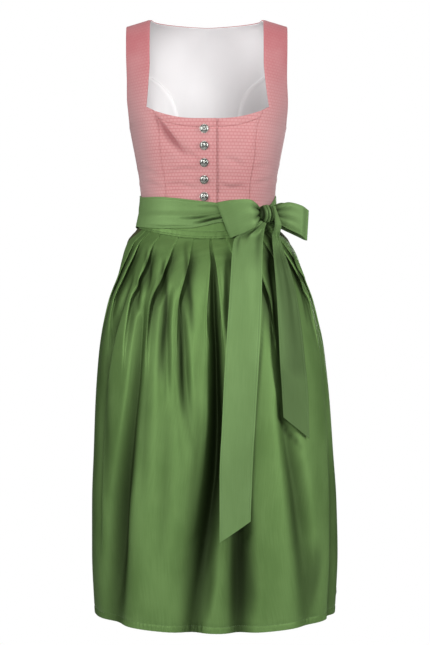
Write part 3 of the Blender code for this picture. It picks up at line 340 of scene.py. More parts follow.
def bell(distance, breadth):
    """1 where there is no distance, and softly less on both sides."""
    return np.exp(-(distance / breadth) ** 2)


def uneven_wave(turn, count, wander, slow):
    """A wave along a turn in radians whose places wander slowly."""
    return np.sin(count * turn + wander * np.sin(slow * turn))


def fine_edges(near, start, count):
    """Places from 0 to 1 that lie closer together at both edges."""
    near = np.array(near)
    return np.concatenate((near, np.linspace(start, 1.0 - start, count), 1.0 - near[::-1]))[None, :]


def half_turn(angle):
    """The same angle between -180 and 180 degrees."""
    return (angle + 180.0) % 360.0 - 180.0


def flipped(*grids):
    """The same grids with their columns the other way round."""
    return [grid[:, ::-1] for grid in grids]


# ---------------------------------------------------------------- the figure's surface
def mean_radius(level):
    """Half way between the section's half width and its depth in front."""
    return 0.5 * (curve_through(SECTIONS, 1, level) + curve_through(SECTIONS, 2, level))


def band_dip(angle):
    """How much lower the waist seam lies than at the sides."""
    turn = np.radians(angle)
    return BAND_DIP * np.where(np.cos(turn) > 0.0, np.cos(turn) ** 2, 0.0)


def figure(angle, level):
    """Point of the worn form: angle 0 is the middle front and 90 the wearer's left side."""
    angle, level = np.broadcast_arrays(np.asarray(angle, float), np.asarray(level, float))
    turn = np.radians(angle)
    front = np.cos(turn) >= 0.0
    dip = band_dip(angle) * ease(level, BAND_DIP_END, WAIST_Z - BAND_DIP)
    section = level + dip * ease(-level, -ARMHOLE_Z, -WAIST_Z)
    half_width, front_depth, back_depth = (curve_through(SECTIONS, k, section) for k in (1, 2, 3))
    depth = np.where(front, front_depth, back_depth)
    square = SQUARE_BODICE * ease(section, SQUARE_FROM, WAIST_Z)
    bulge = 1.0 + square * np.sin(2.0 * turn) ** 2
    away = (np.abs(half_turn(angle)) - BUST["angle"]) / BUST["spread"]
    rise = (level - BUST["level"]) / BUST["height"]
    bulge = bulge + np.where(front, BUST["rise"] * np.exp(-away ** 2 - rise ** 2), 0.0)
    x = half_width * bulge * np.sin(turn)
    height = np.clip((level - ARMHOLE_Z) / -ARMHOLE_Z, 0.0, 1.0)
    arch = np.where(front, FRONT_ARCH, BACK_ARCH)
    inward = (1.0 - height ** arch) ** (1.0 / arch)
    y = -depth * bulge * np.cos(turn) * inward - np.where(front, 0.5, -0.5) * SEAM_GAP
    top = SHOULDER_NECK_Z - SHOULDER_SLOPE * (np.abs(x) - SHOULDER_NECK_X)
    z = np.where(level > ARMHOLE_Z, ARMHOLE_Z + (top - ARMHOLE_Z) * height, level)
    return np.stack((x + curve_through(SECTIONS, 4, section), y, z), axis=-1)


def outward(angle, level):
    """Unit normal of the figure."""
    turn_step, level_step = 0.02, 0.0002
    level = np.minimum(level, -1.01 * level_step)
    across = figure(angle + turn_step, level) - figure(angle - turn_step, level)
    along = figure(angle, level + level_step) - figure(angle, level - level_step)
    normal = np.cross(across, along)
    return normal / np.linalg.norm(normal, axis=-1, keepdims=True)


def draped(angle, level, offset):
    """Point of a cloth that lies at an offset from the figure, along its normal."""
    offset = np.broadcast_to(offset, np.broadcast(angle, level).shape)
    return figure(angle, level) + outward(angle, level) * offset[..., None]


def angle_at(x, level, back=False):
    """Angle at which the figure's front (or back) has this x, found by halving."""
    x, level = np.broadcast_arrays(np.asarray(x, float), np.asarray(level, float))
    low, high = np.full(x.shape, -90.0), np.full(x.shape, 90.0)
    for _ in range(40):
        middle = 0.5 * (low + high)
        found = figure(180.0 - middle if back else middle, level)[..., 0]
        low = np.where(found < x, middle, low)
        high = np.where(found < x, high, middle)
    middle = 0.5 * (low + high)
    return 180.0 - middle if back else middle


# ---------------------------------------------------------------- folds and pleats
def arc_distance(angle, centre, level):
    """Distance along the section between two angles of the skirt."""
    return np.radians(half_turn(angle - centre)) * mean_radius(level)


def front_folds(angle, level, spread=1.0):
    """Depth of the long soft folds under and in the apron, as a distance inward."""
    depth = np.zeros(np.broadcast(angle, level).shape)
    for _, path in FRONT_FOLDS:
        centre, reach, breadth = (curve_through(path, k, level) for k in (1, 2, 3))
        inside = (level <= path[0][0]) & (level >= path[-1][0])
        shape = bell(arc_distance(angle, centre, level), breadth * spread)
        depth = depth + np.where(inside, reach * shape, 0.0)
    return depth


def back_folds(angle, level):
    """Depth of the folds and gathers in the back of the skirt."""
    depth = np.zeros(np.broadcast(angle, level).shape)
    for _, top, hem, start, reach, breadth in BACK_FOLDS:
        down = ease(-level, -start, -start + FOLD_GROWTH)
        centre = blend(top, hem, ease(-level, -start, -SKIRT_HEM_Z))
        shape = bell(arc_distance(angle, centre, level), breadth * (0.7 + 0.3 * down))
        depth = depth + reach * down * shape
    share = (angle - GATHER_FROM) / (GATHER_TO - GATHER_FROM)
    wave = 0.5 - 0.5 * np.cos(tau * GATHER_COUNT * share)
    fade = between(level, WAIST_Z, GATHER_FULL, GATHER_FULL, GATHER_END)
    return depth + np.where((share > 0.0) & (share < 1.0), GATHER_HEIGHT * wave * fade, 0.0)


def hem_flick(angle, level):
    """The edge of the skirt that turns out beside the apron, low on the left."""
    side = (angle - HEM_FLICK["angle"]) / HEM_FLICK["spread"]
    rise = (level - HEM_FLICK["level"]) / HEM_FLICK["tall"]
    return HEM_FLICK["height"] * np.exp(-side ** 2 - rise ** 2)


def lean(angle, level):
    """Lines of the cloth near the middle fold follow it to the wearer's right."""
    path = FRONT_FOLDS[0][1]
    start = path[1][1]
    shift = np.where(level < path[1][0], curve_through(path, 1, level) - start, 0.0)
    return angle + shift * np.exp(-((angle - start) / LEAN_BREADTH) ** 2)


def pleat_angle(pleat, level):
    """Angle of a pleat's folded edge at a level."""
    _, band, low, _, _ = pleat
    angle = blend(band, low, ease(-level, -PLEAT_TOP, -PLEAT_SPREAD_END))
    return lean(angle, level)


def pleat_height(level):
    """Share of a pleat's largest height at a level."""
    grown = 0.05 + 0.95 * ease(-level, -PLEAT_TOP - PLEAT_FLAT, -PLEAT_FULL)
    return grown * (1.0 - ease(-level, -PLEAT_FULL - PLEAT_HELD, -PLEAT_END))


# ---------------------------------------------------------------- meshes
GRAIN_RADIUS = 0.122             # cloth round the bodice is laid out at this radius
SHARP_EDGE = 62.0                # edges that bend by more degrees than this stay sharp
STITCH_SHARES = np.array((0.0, 0.25, 0.75, 1.0))   # rings along a stitch, and their lift
STITCH_LIFT = np.array((0.0, 1.0, 1.0, 0.0))
PIECES, TRIM = {}, {}            # the cloths and fittings by node, and the stitching on each


def straight_grain(angle, level):
    """Place on a cloth whose threads run upright and level on the body."""
    return np.stack(np.broadcast_arrays(np.radians(angle) * GRAIN_RADIUS, -level), axis=-1)


def run_along(points, axis):
    """Distance of each point from the first one, along a grid's lines."""
    steps = np.linalg.norm(np.diff(points, axis=axis), axis=-1)
    return np.insert(np.cumsum(steps, axis=axis), 0, 0.0, axis=axis)


def grid_normal(outer):
    """Unit normals of a grid of points."""
    normal = np.cross(np.gradient(outer, axis=0), np.gradient(outer, axis=1))
    return normal / np.maximum(np.linalg.norm(normal, axis=-1, keepdims=True), 1e-12)


def link(name, data):
    """Put a new object with this data into the scene."""
    thing = bpy.data.objects.new(name, data)
    bpy.context.scene.collection.objects.link(thing)
    return thing


def smooth_object(name, points, faces, sharp=None, mesh_name=None):
    """A smoothly shaded object from points and faces."""
    mesh = bpy.data.meshes.new(mesh_name or name)
    mesh.from_pydata(np.reshape(points, (-1, 3)).tolist(), [], faces)
    mesh.shade_smooth()
    if sharp:
        mesh.set_sharp_from_angle(angle=radians(sharp))
    return link(name, mesh)


def write_points(piece, cut, painted_shading=None):
    """Write "cut", each point's place on the cloth, and the share of painted shade at each point,
    which is painted light on the lining's seams and the skirt's crests.
    """
    add = piece.data.attributes.new
    add("cut", "FLOAT_VECTOR", "POINT").data.foreach_set("vector", np.reshape(cut, -1))
    if painted_shading is not None:
        add("painted_shading", "FLOAT", "POINT").data.foreach_set("value", np.reshape(painted_shading, -1))


def tube_faces(rings, turns, inward=False):
    """Faces of a closed tube of rings, with a flat cap at both ends."""
    faces = []
    for low in range(0, (rings - 1) * turns, turns):
        for k in range(turns):
            n = (k + 1) % turns
            a, b, c, d = low + k, low + n, low + turns + n, low + turns + k
            faces.append((a, d, c, b) if inward else (a, b, c, d))
    first, last = tuple(range(turns)), tuple(range((rings - 1) * turns, rings * turns))
    return faces + ([first, last[::-1]] if inward else [first[::-1], last])


def shell(name, outer, wall, grain=None, painted_shading=None):
    """Close a grid of points into a thin shell."""
    rows, columns = outer.shape[:2]
    number = np.arange(rows * columns).reshape(rows, columns)
    corners = (number[:-1, :-1], number[1:, :-1], number[1:, 1:], number[:-1, 1:])
    face = np.stack(corners, axis=-1).reshape(-1, 4)
    rims = []
    for line in (number[0, ::-1], number[:, 0], number[-1], number[::-1, -1]):
        start, end = line[:-1], line[1:]
        rims.append(np.stack((start, start + rows * columns, end + rows * columns, end), axis=-1))
    faces = np.concatenate([face, face[:, ::-1] + rows * columns] + rims)
    points = np.concatenate((outer, outer - grid_normal(outer) * wall)).reshape(-1, 3)
    corner = points[faces]
    volume = sum(np.sum(np.cross(corner[:, 0], corner[:, k]) * corner[:, k + 1]) for k in (1, 2))
    if volume < 0.0:
        faces = faces[:, ::-1]
    piece = smooth_object(name, points, faces.tolist(), SHARP_EDGE)
    if grain is None:
        grain = np.stack((run_along(outer, 1), run_along(outer, 0)), axis=-1)
    cut = np.concatenate((grain, np.zeros((rows, columns, 1))), axis=-1)
    painted_shading = None if painted_shading is None else np.tile(np.reshape(painted_shading, -1), 2)
    write_points(piece, np.concatenate((cut, cut + UP)), painted_shading)
    return piece


def dress(piece, slot, material, *nodes):
    """Give a piece its material and say which nodes it stands for."""
    piece.data.materials.append(material)
    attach(piece, "root")
    for node in nodes:
        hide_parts(node)
        PIECES[node] = piece
    return piece


def stitches(node, row, outer, line, slot, material, pitch=0.0032, length=0.0021, thick=0.00042):
    """A row of raised stitches along a line of the grid of a node's cloth."""
    path, normal = outer[line], grid_normal(outer)[line]
    run = run_along(path, 0)
    points, faces = [], []
    for start in (np.arange(int(run[-1] / pitch)) + 0.5) * pitch - 0.5 * length:
        rings = start + STITCH_SHARES * length
        places = np.stack([np.interp(rings, run, line) for line in path.T], -1)
        facing = np.array([np.interp(start, run, line) for line in normal.T])
        side = np.cross(places[-1] - places[0], facing)
        side = side / np.linalg.norm(side)
        first = len(points)
        for place, rise in zip(places, STITCH_LIFT):
            wide = side * 0.5 * thick * (0.45 + 0.55 * rise)
            crown = place + facing * thick * (0.05 + 0.55 * rise)
            foot = place - facing * 0.35 * thick
            points += [crown - 0.5 * wide, crown + 0.5 * wide, foot + wide, foot - wide]
        faces += [(low + j, low + (j + 1) % 4, low + 4 + (j + 1) % 4, low + 4 + j)
                  for low in (first, first + 4, first + 8) for j in range(4)]
        faces += [(first, first + 3, first + 2, first + 1), tuple(range(first + 12, first + 16))]
    piece = smooth_object(f"{node}_{row}", points, faces)
    TRIM.setdefault(node, []).append(dress(piece, slot, material))


# ---------------------------------------------------------------- the camera's frame
METRES_PER_COLUMN = 0.00175      # on the plane y = 0
CAMERA_DISTANCE = 3.0
EYE_LEVEL = -0.533
CENTRE_X = 0.0123
FRAME_WIDTH, FRAME_HEIGHT = 430, 645


@cache
def seen_at(places):
    """Angles and levels of the figure's front at places in the camera's frame."""
    column, row = np.array(places, dtype=float).T
    y = np.full(column.shape, -0.12)
    for _ in range(8):
        reach = METRES_PER_COLUMN * (CAMERA_DISTANCE + y) / CAMERA_DISTANCE
        x = (column - 0.5 * FRAME_WIDTH) * reach + CENTRE_X
        z = (0.5 * FRAME_HEIGHT - row) * reach + EYE_LEVEL
        angle = angle_at(x, z)
        y = figure(angle, z)[..., 1]
    return np.stack((angle, z), axis=-1)


def crease(angle, level, places, depth, breadth, ridge=0.0):
    """Relief of one crease through places in the frame: a trough, with a ridge on one side."""
    path = seen_at(places)
    radius = mean_radius(float(np.mean(path[:, 1])))
    x, z = np.radians(angle) * radius, level
    path_x, path_z = np.radians(path[:, 0]) * radius, path[:, 1]
    lengths = np.hypot(np.diff(path_x), np.diff(path_z))
    run = np.insert(np.cumsum(lengths), 0, 0.0) / np.sum(lengths)
    nearest = np.full(np.broadcast(angle, level).shape, 1e9)
    share, signed = np.zeros(nearest.shape), np.zeros(nearest.shape)
    for k in range(len(path) - 1):
        ax, az = path_x[k + 1] - path_x[k], path_z[k + 1] - path_z[k]
        t = ((x - path_x[k]) * ax + (z - path_z[k]) * az) / (ax * ax + az * az)
        held = np.clip(t, 0.0, 1.0)
        dx, dz = x - path_x[k] - held * ax, z - path_z[k] - held * az
        away = np.hypot(dx, dz)
        closer = away < nearest
        nearest = np.where(closer, away, nearest)
        share = np.where(closer, blend(run[k], run[k + 1], held), share)
        signed = np.where(closer, np.sign(ax * dz - az * dx) * away, signed)
    taper = np.sin(pi * np.clip(share, 0.0, 1.0)) ** 0.8
    beside = bell(signed - 1.7 * breadth, 1.1 * breadth)
    return taper * (ridge * beside - depth * bell(signed, breadth))


def creases(angle, level, table):
    """Relief of all the creases in a table."""
    return sum(crease(angle, level, *row) for row in table)


# ---------------------------------------------------------------- creases seen on the cloth
#  places down the crease (column, row), depth, half breadth, height of any ridge beside it
BODICE_CREASES = (
    (((146, 108), (158, 121), (171, 139), (190, 162)), 0.0044, 0.01, 0.001),
    (((154, 114), (160, 122), (168, 132), (176, 143), (188, 157)), 0.0026, 0.0036, 0.0014),
    (((183, 146), (192, 156), (201, 162)), 0.0014, 0.004, 0.0006),
    (((172, 172), (186, 169), (201, 172)), 0.0014, 0.004, 0.0006),
    (((163, 186), (180, 184), (200, 190)), 0.0014, 0.0042, 0.0008),
    (((222, 158), (232, 160), (244, 168)), 0.0012, 0.005, 0.0006),
    (((218, 184), (230, 188), (246, 186)), 0.0014, 0.0044, 0.0008),
    (((243, 118), (246, 133), (243, 152)), 0.0018, 0.008),
)
SIDE_CREASES = (
    (((142, 168), (151, 172), (160, 178)), 0.0014, 0.0042, 0.0006),
    (((143, 182), (153, 184), (163, 189)), 0.0016, 0.0042, 0.0008),
    (((252, 170), (262, 166), (272, 162)), 0.0014, 0.0044, 0.0006),
    (((251, 186), (262, 182), (274, 178)), 0.0016, 0.0044, 0.0008),
)
RIBBON_CREASES = (
    (((180, 219.6), (192, 218.8), (206, 217.2), (230, 213.0)), 0.0024, 0.0022, 0.0016),
    (((193, 225.2), (202, 222.4), (212, 219.6), (232, 216.0)), 0.003, 0.0024, 0.002),
    (((196, 208), (210, 207), (230, 209)), 0.001, 0.0036, 0.0008),
    (((150, 226.5), (170, 227.2), (190, 226.6)), 0.0008, 0.0016, 0.0004),
    (((250, 211), (236, 210), (224, 213)), 0.001, 0.0034, 0.0008),
)
APRON_CREASES = (
    (((138, 276), (139, 292), (137.5, 316)), 0.004, 0.006, 0.0014),
    (((151, 254), (150, 272), (147, 300)), 0.0036, 0.007),
    (((165, 258), (163, 276), (160, 306)), 0.0042, 0.0064, 0.0012),
    (((180, 290), (179, 312), (178, 346)), 0.002, 0.0058, 0.001),
    (((195, 262), (194, 290), (192, 330), (190, 372)), 0.0022, 0.008),
    (((226, 262), (228, 300), (228, 352)), 0.0024, 0.007),
    (((150, 320), (146, 370), (143, 430), (139, 520)), 0.0034, 0.013, 0.0012),
    (((170, 372), (168, 430), (166, 500), (160, 590)), 0.003, 0.016, 0.001),
    (((196, 400), (193, 480), (184, 560)), 0.0026, 0.011, 0.0008),
    (((322, 540), (318, 580), (312, 622)), 0.003, 0.014, 0.001),
    (((292, 256), (299, 276), (305, 306)), 0.0038, 0.0062, 0.0014),
    (((270, 262), (274, 300), (276, 350)), 0.003, 0.007, 0.001),
    (((104, 330), (100, 400), (99, 500), (102, 590)), 0.0026, 0.011, 0.001),
    (((122, 470), (116, 540), (112, 606)), 0.003, 0.011, 0.001),
    (((252, 560), (254, 595), (252, 626)), 0.004, 0.01, 0.0014),
    (((214, 560), (208, 600), (204, 628)), 0.004, 0.009, 0.0014),
)
# Painted shade in the open ends of the pleats and under the ribbon's ends: places, strength, half
# breadth. The apron's edges get painted shade too: angles and levels over which the shade grows.
SHADES = (
    (((148, 246), (149, 262), (151, 276), (150, 294)), 0.7, 0.005),
    (((163, 252), (165, 272), (167, 296), (165, 322), (161.5, 352), (160, 384)), 0.92, 0.0052),
    (((187, 240), (187.2, 262), (188.5, 282), (191, 304), (193, 334)), 0.82, 0.0042),
    (((180.5, 302), (180, 328), (180, 360), (181, 392), (183, 418)), 0.82, 0.0046),
    (((158, 272), (156, 290), (151, 314), (145, 342), (140, 372)), 0.55, 0.0042),
    (((136, 256), (130, 288), (117, 321), (106, 348)), 0.5, 0.0085),
    (((126, 250), (119, 278), (112, 308)), 0.55, 0.0042),
    (((265, 190), (266, 232), (267.5, 262), (270, 296), (274, 350)), 1.0, 0.0095),
    (((287, 226), (291, 256), (296, 280), (302, 302), (307, 330)), 0.95, 0.0048),
    (((226, 258), (226.5, 290), (226, 328), (224, 352)), 0.6, 0.0034),
    (((263, 292), (261.5, 330), (259.5, 360), (257.5, 392), (255.5, 425)), 0.65, 0.0032),
    (((256, 380), (254, 440), (252.6, 480), (250.4, 536)), 0.55, 0.003),
    (((280, 400), (283, 424), (293, 436), (303, 450)), 0.75, 0.0036),
    (((237, 495), (240, 545), (240, 590), (238, 640)), 1.0, 0.02),
    (((203, 400), (200, 450), (195, 500), (189, 560), (184, 610)), 0.46, 0.015),
    (((215.5, 385), (215, 430), (212, 475), (207, 515), (201, 552), (198, 590)), 0.7, 0.007),
    (((137, 350), (136, 415), (129, 470), (122, 525), (119, 600), (117, 630)), 0.62, 0.012),
    (((104, 345), (107, 390), (108, 440), (106, 500)), 0.55, 0.013),
    (((316, 540), (314, 575), (310, 622)), 0.45, 0.024),
    (((288, 440), (293, 485), (298, 540), (303, 600)), 0.4, 0.011),
)
EDGE_SHADES = ((0.52, -1, (62.0, 77.0), (0.44, 0.58)), (0.4, 1, (62.0, 82.0), (0.7, 0.84)))


def between_rows(levels, count):
    """Levels spread evenly between the frame's rows."""
    at = np.linspace(0, len(levels) - 1, count)[:, None]
    return np.interp(at, np.arange(len(levels)), levels)


def shades(angle, level):
    """Painted shade: how dark the cloth is in the pleats' open ends and under the ribbon's ends."""
    return np.clip(-creases(angle, level, SHADES), 0.0, 1.0)


def side_shade(angle, level):
    """Painted shade on the apron's edges where they turn away below the hips."""
    return sum(strength * ease(side * angle, *angles) * ease(-level, *levels)
               for strength, side, angles, levels in EDGE_SHADES)


def groove(distance, depth=0.0011, breadth=0.0012):
    """The cloth is drawn in along a row of stitching."""
    return -depth * bell(distance, breadth)


def seam_roll(distance, depth=0.0011, breadth=0.0024):
    """The cloth turns in at a pressed seam, and stands up a little beside it."""
    beside = 0.35 * depth * bell(distance - 2.6 * breadth, 1.6 * breadth)
    return groove(distance, depth, breadth) + beside


# ---------------------------------------------------------------- bodice
BAND_STITCH_DROP = 0.014         # from the neckline's edge to its row of stitching
BACK_STITCH_DROP = 0.0138        # and at the back
ARMHOLE_ROWS = 5.0               # rows of the side back that end at the armhole
STRAP_CORNER = (-0.166, -0.1735)
SEAM_TUCK = 0.0014               # the side front's edge goes this far under the middle front
STRAP_RADIUS, BACK_RADIUS = 0.135, 0.12   # of the side front, and of the side back
EDGE_RISE = 0.0008               # the front edge's folded cloth stands up by this much
EDGE_STITCH = 0.0052             # from the front edge to its row of stitching
EDGE_ROW = 30                    # a row of points well below the neckline
ARMHOLE_STITCH = 0.0055
LAP_COLUMNS, FRONT_COLUMNS, FRONT_ROWS = 16, 39, 57   # points of the middle fronts
BODICE_SHADE = 0.75              # painted shade: how dark the pink cloth is in its deepest creases
LEVEL_SIDE = 90.001              # the side seam, just behind the middle of the side
WRINKLES = {"level": -0.285, "spread": 0.04, "height": 0.0009, "pitch": 235.0}
SEAM_RIDGE, SEAM_RIDGE_BREADTH = 0.0017, 0.0024   # the lining stands up over the bodice's seams
RIDGE_LIGHT = 0.45               # painted highlight: how far the lining is lighter along its raised seams
LINING_PUCKER = 0.0011           # depth of the lining's puckers
PINK_SLOT, LINING_SLOT = "bodice_jacquard", "lining_cotton"
FRONT_SEAM_LEVELS = (-0.1735, -0.185, -0.192, -0.196, -0.21, -0.23, -0.255, -0.28, -0.305,
                     -0.335, WAIST_Z)
STRAP_LEVELS = (0.0, -0.002, -0.008, -0.018, -0.034, -0.058, -0.088, -0.12, -0.145, -0.166)
BACK_STRAP_LEVELS = (0.0, -0.003, -0.014, -0.038, -0.06)
BACK_SEAM_LEVELS = (-0.076, -0.093, -0.112, -0.135, -0.165, -0.205, -0.25, -0.29, -0.325,
                    WAIST_Z)
NECK_ROWS = (0.0, 0.0004, 0.001, 0.0018, 0.0032, 0.005, 0.007, 0.009, 0.0108, 0.0122, 0.013,
             0.0135, 0.014, 0.0145, 0.015, 0.016, 0.0175, 0.0195, 0.022, 0.025, 0.028, 0.031)


def neckline_level(x):
    """Level of the front neckline: low in the middle, turned up to the strap's corner."""
    return NECK_FRONT_Z + NECK_CORNER_RISE * (np.abs(x) / NECK_CORNER_X) ** 3


def back_neckline_level(x):
    """Level of the back neckline, which runs almost level between the shoulder seams."""
    x = np.abs(x)
    share = np.clip(x / SHOULDER_NECK_X, 0.0, 1.0)
    height = blend(NECK_BACK_Z, SHOULDER_NECK_Z, share ** 2)
    crest = SHOULDER_NECK_Z - SHOULDER_SLOPE * (x - SHOULDER_NECK_X)
    return np.where(x < SHOULDER_NECK_X, ARMHOLE_Z * (crest - height) / (crest - ARMHOLE_Z), 0.0)


def bodice_painted_shade(angle, level):
    """Painted shade: how dark the pink cloth is made in its creases."""
    return BODICE_SHADE * ease(-creases(angle, level, BODICE_CREASES + SIDE_CREASES), 0.001, 0.0062)


def bodice_cloth(name, side, angle, level, offset, material, painted_shading=None, wall=WALL,
                 slot=PINK_SLOT):
    """Make a cloth of the bodice from its grid; its rows run the other way on the right."""
    outer, grain = draped(angle, level, offset), straight_grain(angle, level)
    if side < 0:
        outer, grain = flipped(outer, grain)
        painted_shading = None if painted_shading is None else painted_shading[:, ::-1]
    dress(shell(name, outer, wall, grain, painted_shading), slot, material, name)
    return outer


def front_middle(name, side, material, thread):
    """One of the two lapping fronts, with its stitched neckline and front edge."""
    seam_top = float(curve_through(PRINCESS_SEAM, 1, FRONT_SEAM_LEVELS[0]))
    covered = PLACKET_EDGE_X + PLACKET_COVER
    lap = np.concatenate((np.array((0.0, 0.0005, 0.0012)) - PLACKET_EDGE_X,
                          np.linspace(0.0022 - PLACKET_EDGE_X, covered + LAP_STEP, LAP_COLUMNS)))
    share = np.concatenate((0.0 * lap, np.linspace(0.0, 1.0, FRONT_COLUMNS + 1)[1:]))[None, :]
    start = np.concatenate((lap, np.full(FRONT_COLUMNS, lap[-1])))[None, :]
    top = neckline_level(blend(start, seam_top, share))
    drop = np.array(NECK_ROWS)[:, None]
    below = blend(top - drop[-1], WAIST_Z, np.linspace(0.0, 1.0, FRONT_ROWS + 1)[1:, None])
    level = np.concatenate((top - drop, below))
    seam = curve_through(PRINCESS_SEAM, 1, level)
    x = blend(start, seam, share) * side
    angle = angle_at(x, level)
    offset = creases(angle, level, BODICE_CREASES)
    pressed = groove(top - level - BAND_STITCH_DROP, depth=0.0015) + seam_roll(seam - np.abs(x))
    pressed = pressed + seam_roll(top - level, depth=0.0005, breadth=0.0008)
    if side > 0:
        offset = offset + (ease(x, covered, covered + LAP_STEP) - 1.0) * (WALL + LAP_GAP)
        offset = offset + np.where(x < covered, 0.0, pressed)
    else:
        offset = offset + pressed
        offset = offset + groove(PLACKET_EDGE_X - EDGE_STITCH - x, depth=0.0006, breadth=0.0009)
        offset = offset + EDGE_RISE * ease(x, PLACKET_EDGE_X - 0.006, PLACKET_EDGE_X - 0.0012)
    outer = bodice_cloth(name, side, angle, level, offset, material, bodice_painted_shade(angle, level))
    line = np.s_[NECK_ROWS.index(BAND_STITCH_DROP), 12 if side > 0 else 0:]
    stitches(name, "neck_stitches", outer, line, PINK_SLOT, thread)
    if side < 0:
        column = int(np.argmin(np.abs(x[EDGE_ROW, ::-1] - (PLACKET_EDGE_X - EDGE_STITCH))))
        stitches(name, "edge_stitches", outer, np.s_[3:, column], PINK_SLOT, thread)


def front_side(name, side, material, thread):
    """The side front with its shoulder strap, stitched along the armhole."""
    level = between_rows(STRAP_LEVELS + FRONT_SEAM_LEVELS, 150)
    corner = np.clip((level - STRAP_CORNER[0]) / (STRAP_CORNER[1] - STRAP_CORNER[0]), 0.0, 1.0)
    strap, seam = (curve_through(table, 1, level) for table in (STRAP_INNER, PRINCESS_SEAM))
    inner = angle_at(blend(strap, seam, corner), level)
    outer_edge = np.where(level > ARMHOLE_Z, curve_through(ARMHOLE_FRONT, 1, level), 90.0)
    across = fine_edges((0.0, 0.012, 0.03, 0.055, 0.085), 0.12, 24)
    angle = blend(inner, outer_edge, across)
    level = np.broadcast_to(level, angle.shape)
    width = np.radians(outer_edge - inner) * STRAP_RADIUS
    tuck = corner * (across == 0.0)
    angle = (angle - np.degrees(SEAM_TUCK / STRAP_RADIUS) * tuck) * side
    offset = creases(angle, level, SIDE_CREASES + BODICE_CREASES[:2]) - 2.0 * SEAM_TUCK * tuck
    offset = offset + seam_roll(across * width, depth=0.0007, breadth=0.0015)
    offset = offset + seam_roll((1.0 - across) * width, depth=0.0006, breadth=0.0014)
    armhole = ease(level, ARMHOLE_Z - 0.004, ARMHOLE_Z + 0.002)
    sewn = groove((1.0 - across) * width - ARMHOLE_STITCH, depth=0.0004, breadth=0.0009)
    offset = offset + sewn * armhole
    outer = bodice_cloth(name, side, angle, level, offset, material, bodice_painted_shade(angle, level))
    rows = int(np.sum(level[:, 0] > ARMHOLE_Z))
    line = np.s_[:rows, 5 if side < 0 else outer.shape[1] - 6]
    stitches(name, "armhole_stitches", outer, line, PINK_SLOT, thread)


def back_relief(angle, level):
    """Soft crosswise wrinkles at the small of the back."""
    wave = np.sin(level * WRINKLES["pitch"] + 0.8 * np.sin(np.radians(angle) * 3.0))
    return WRINKLES["height"] * wave * bell(level - WRINKLES["level"], WRINKLES["spread"])


def back_grid(rows):
    """Grid of the middle back with its straps, between the curved back seams."""
    edge_level = between_rows(BACK_STRAP_LEVELS + BACK_SEAM_LEVELS, rows)
    armhole_x = figure(curve_through(ARMHOLE_BACK, 1, 0.0), 0.0)[0] - figure(0.0, 0.0)[0]
    neck = SHOULDER_NECK_X / armhole_x
    half = np.concatenate((neck * np.linspace(0.0, 1.0, 22)[1:], np.linspace(neck, 1.0, 12)[1:]))
    across = np.concatenate((-half[::-1], [0.0], half))[None, :]
    level = blend(back_neckline_level(across * armhole_x), WAIST_Z, edge_level / WAIST_Z)
    middle = figure(180.0, level)[..., 0]
    armhole = figure(180.0 - curve_through(ARMHOLE_BACK, 1, level), level)[..., 0] - middle
    seam = np.minimum(curve_through(BACK_SEAM, 1, level), armhole)
    edge = np.where(edge_level > BACK_SEAM_LEVELS[0], armhole, seam)
    angle = angle_at(middle + across * edge, level, back=True)
    return angle, level, (1.0 - np.abs(across)) * edge


def back_middle(name, material, thread):
    """The middle back with both straps."""
    angle, level, away = back_grid(130)
    offset = back_relief(angle, level) + seam_roll(away)
    offset = offset + groove(level - level[:1] + BAND_STITCH_DROP, depth=0.0005)
    outer = bodice_cloth(name, -1, angle, level, offset, material)
    middle = level.shape[1] // 2
    near = int(np.argmin(np.abs(level[:, middle] - level[0, middle] + BACK_STITCH_DROP)))
    stitches(name, "neck_stitches", outer, np.s_[near, 11:-11], PINK_SLOT, thread)


def side_grid(side, rows, columns):
    """Grid of the side back, with its distances from the side seam and the curved back seam."""
    index = np.linspace(0.0, len(BACK_SEAM_LEVELS) - 1.0, rows)[:, None]
    seam_level = np.interp(index, np.arange(len(BACK_SEAM_LEVELS)), BACK_SEAM_LEVELS)
    seam = angle_at(curve_through(BACK_SEAM, 1, seam_level), seam_level, back=True)
    armhole = np.clip(1.0 - index / ARMHOLE_ROWS, 0.0, 1.0) ** 1.5
    straight = (index - ARMHOLE_ROWS) / (len(BACK_SEAM_LEVELS) - 1.0 - ARMHOLE_ROWS)
    side_level = blend(ARMHOLE_Z, BACK_SEAM_LEVELS[0], armhole)
    side_level = side_level + (WAIST_Z - ARMHOLE_Z) * np.clip(straight, 0.0, 1.0)
    at_armhole = 180.0 - curve_through(ARMHOLE_BACK, 1, side_level)
    side_angle = np.where(index < ARMHOLE_ROWS, at_armhole, LEVEL_SIDE)
    across = fine_edges((0.0, 0.02, 0.05), 0.09, columns - 6)
    level = blend(side_level, seam_level, across)
    angle = blend(side_angle, seam, across)
    width = np.radians(seam - side_angle) * BACK_RADIUS
    return (angle if side > 0 else 360.0 - angle), level, across * width, (1.0 - across) * width


def tucked(side, from_seam, reach):
    """Angle by which a cloth's last points go on under its neighbour at the back seam."""
    return side * np.degrees(reach / BACK_RADIUS) * (from_seam == 0.0)


def back_side(name, side, material):
    """The side back, between the side seam and the curved back seam."""
    angle, level, from_side, from_seam = side_grid(side, 110, 34)
    offset = back_relief(angle, level) + seam_roll(from_side) + seam_roll(from_seam)
    offset = offset - 0.0005 * (from_seam == 0.0)
    angle = angle + tucked(side, from_seam, 0.8 * SEAM_TUCK)
    bodice_cloth(name, side, angle, level, offset, material)


def lining_relief(angle, level):
    """The lining's soft upright puckers, fuller towards the waist."""
    turn = np.radians(angle)
    wave = uneven_wave(turn, 22.0, 1.1, 5.0) + 0.6 * np.sin(41.0 * turn + level * 9.0)
    return -LINING_PUCKER * ease(-level, 0.07, 0.23) * (1.2 + 0.85 * wave)


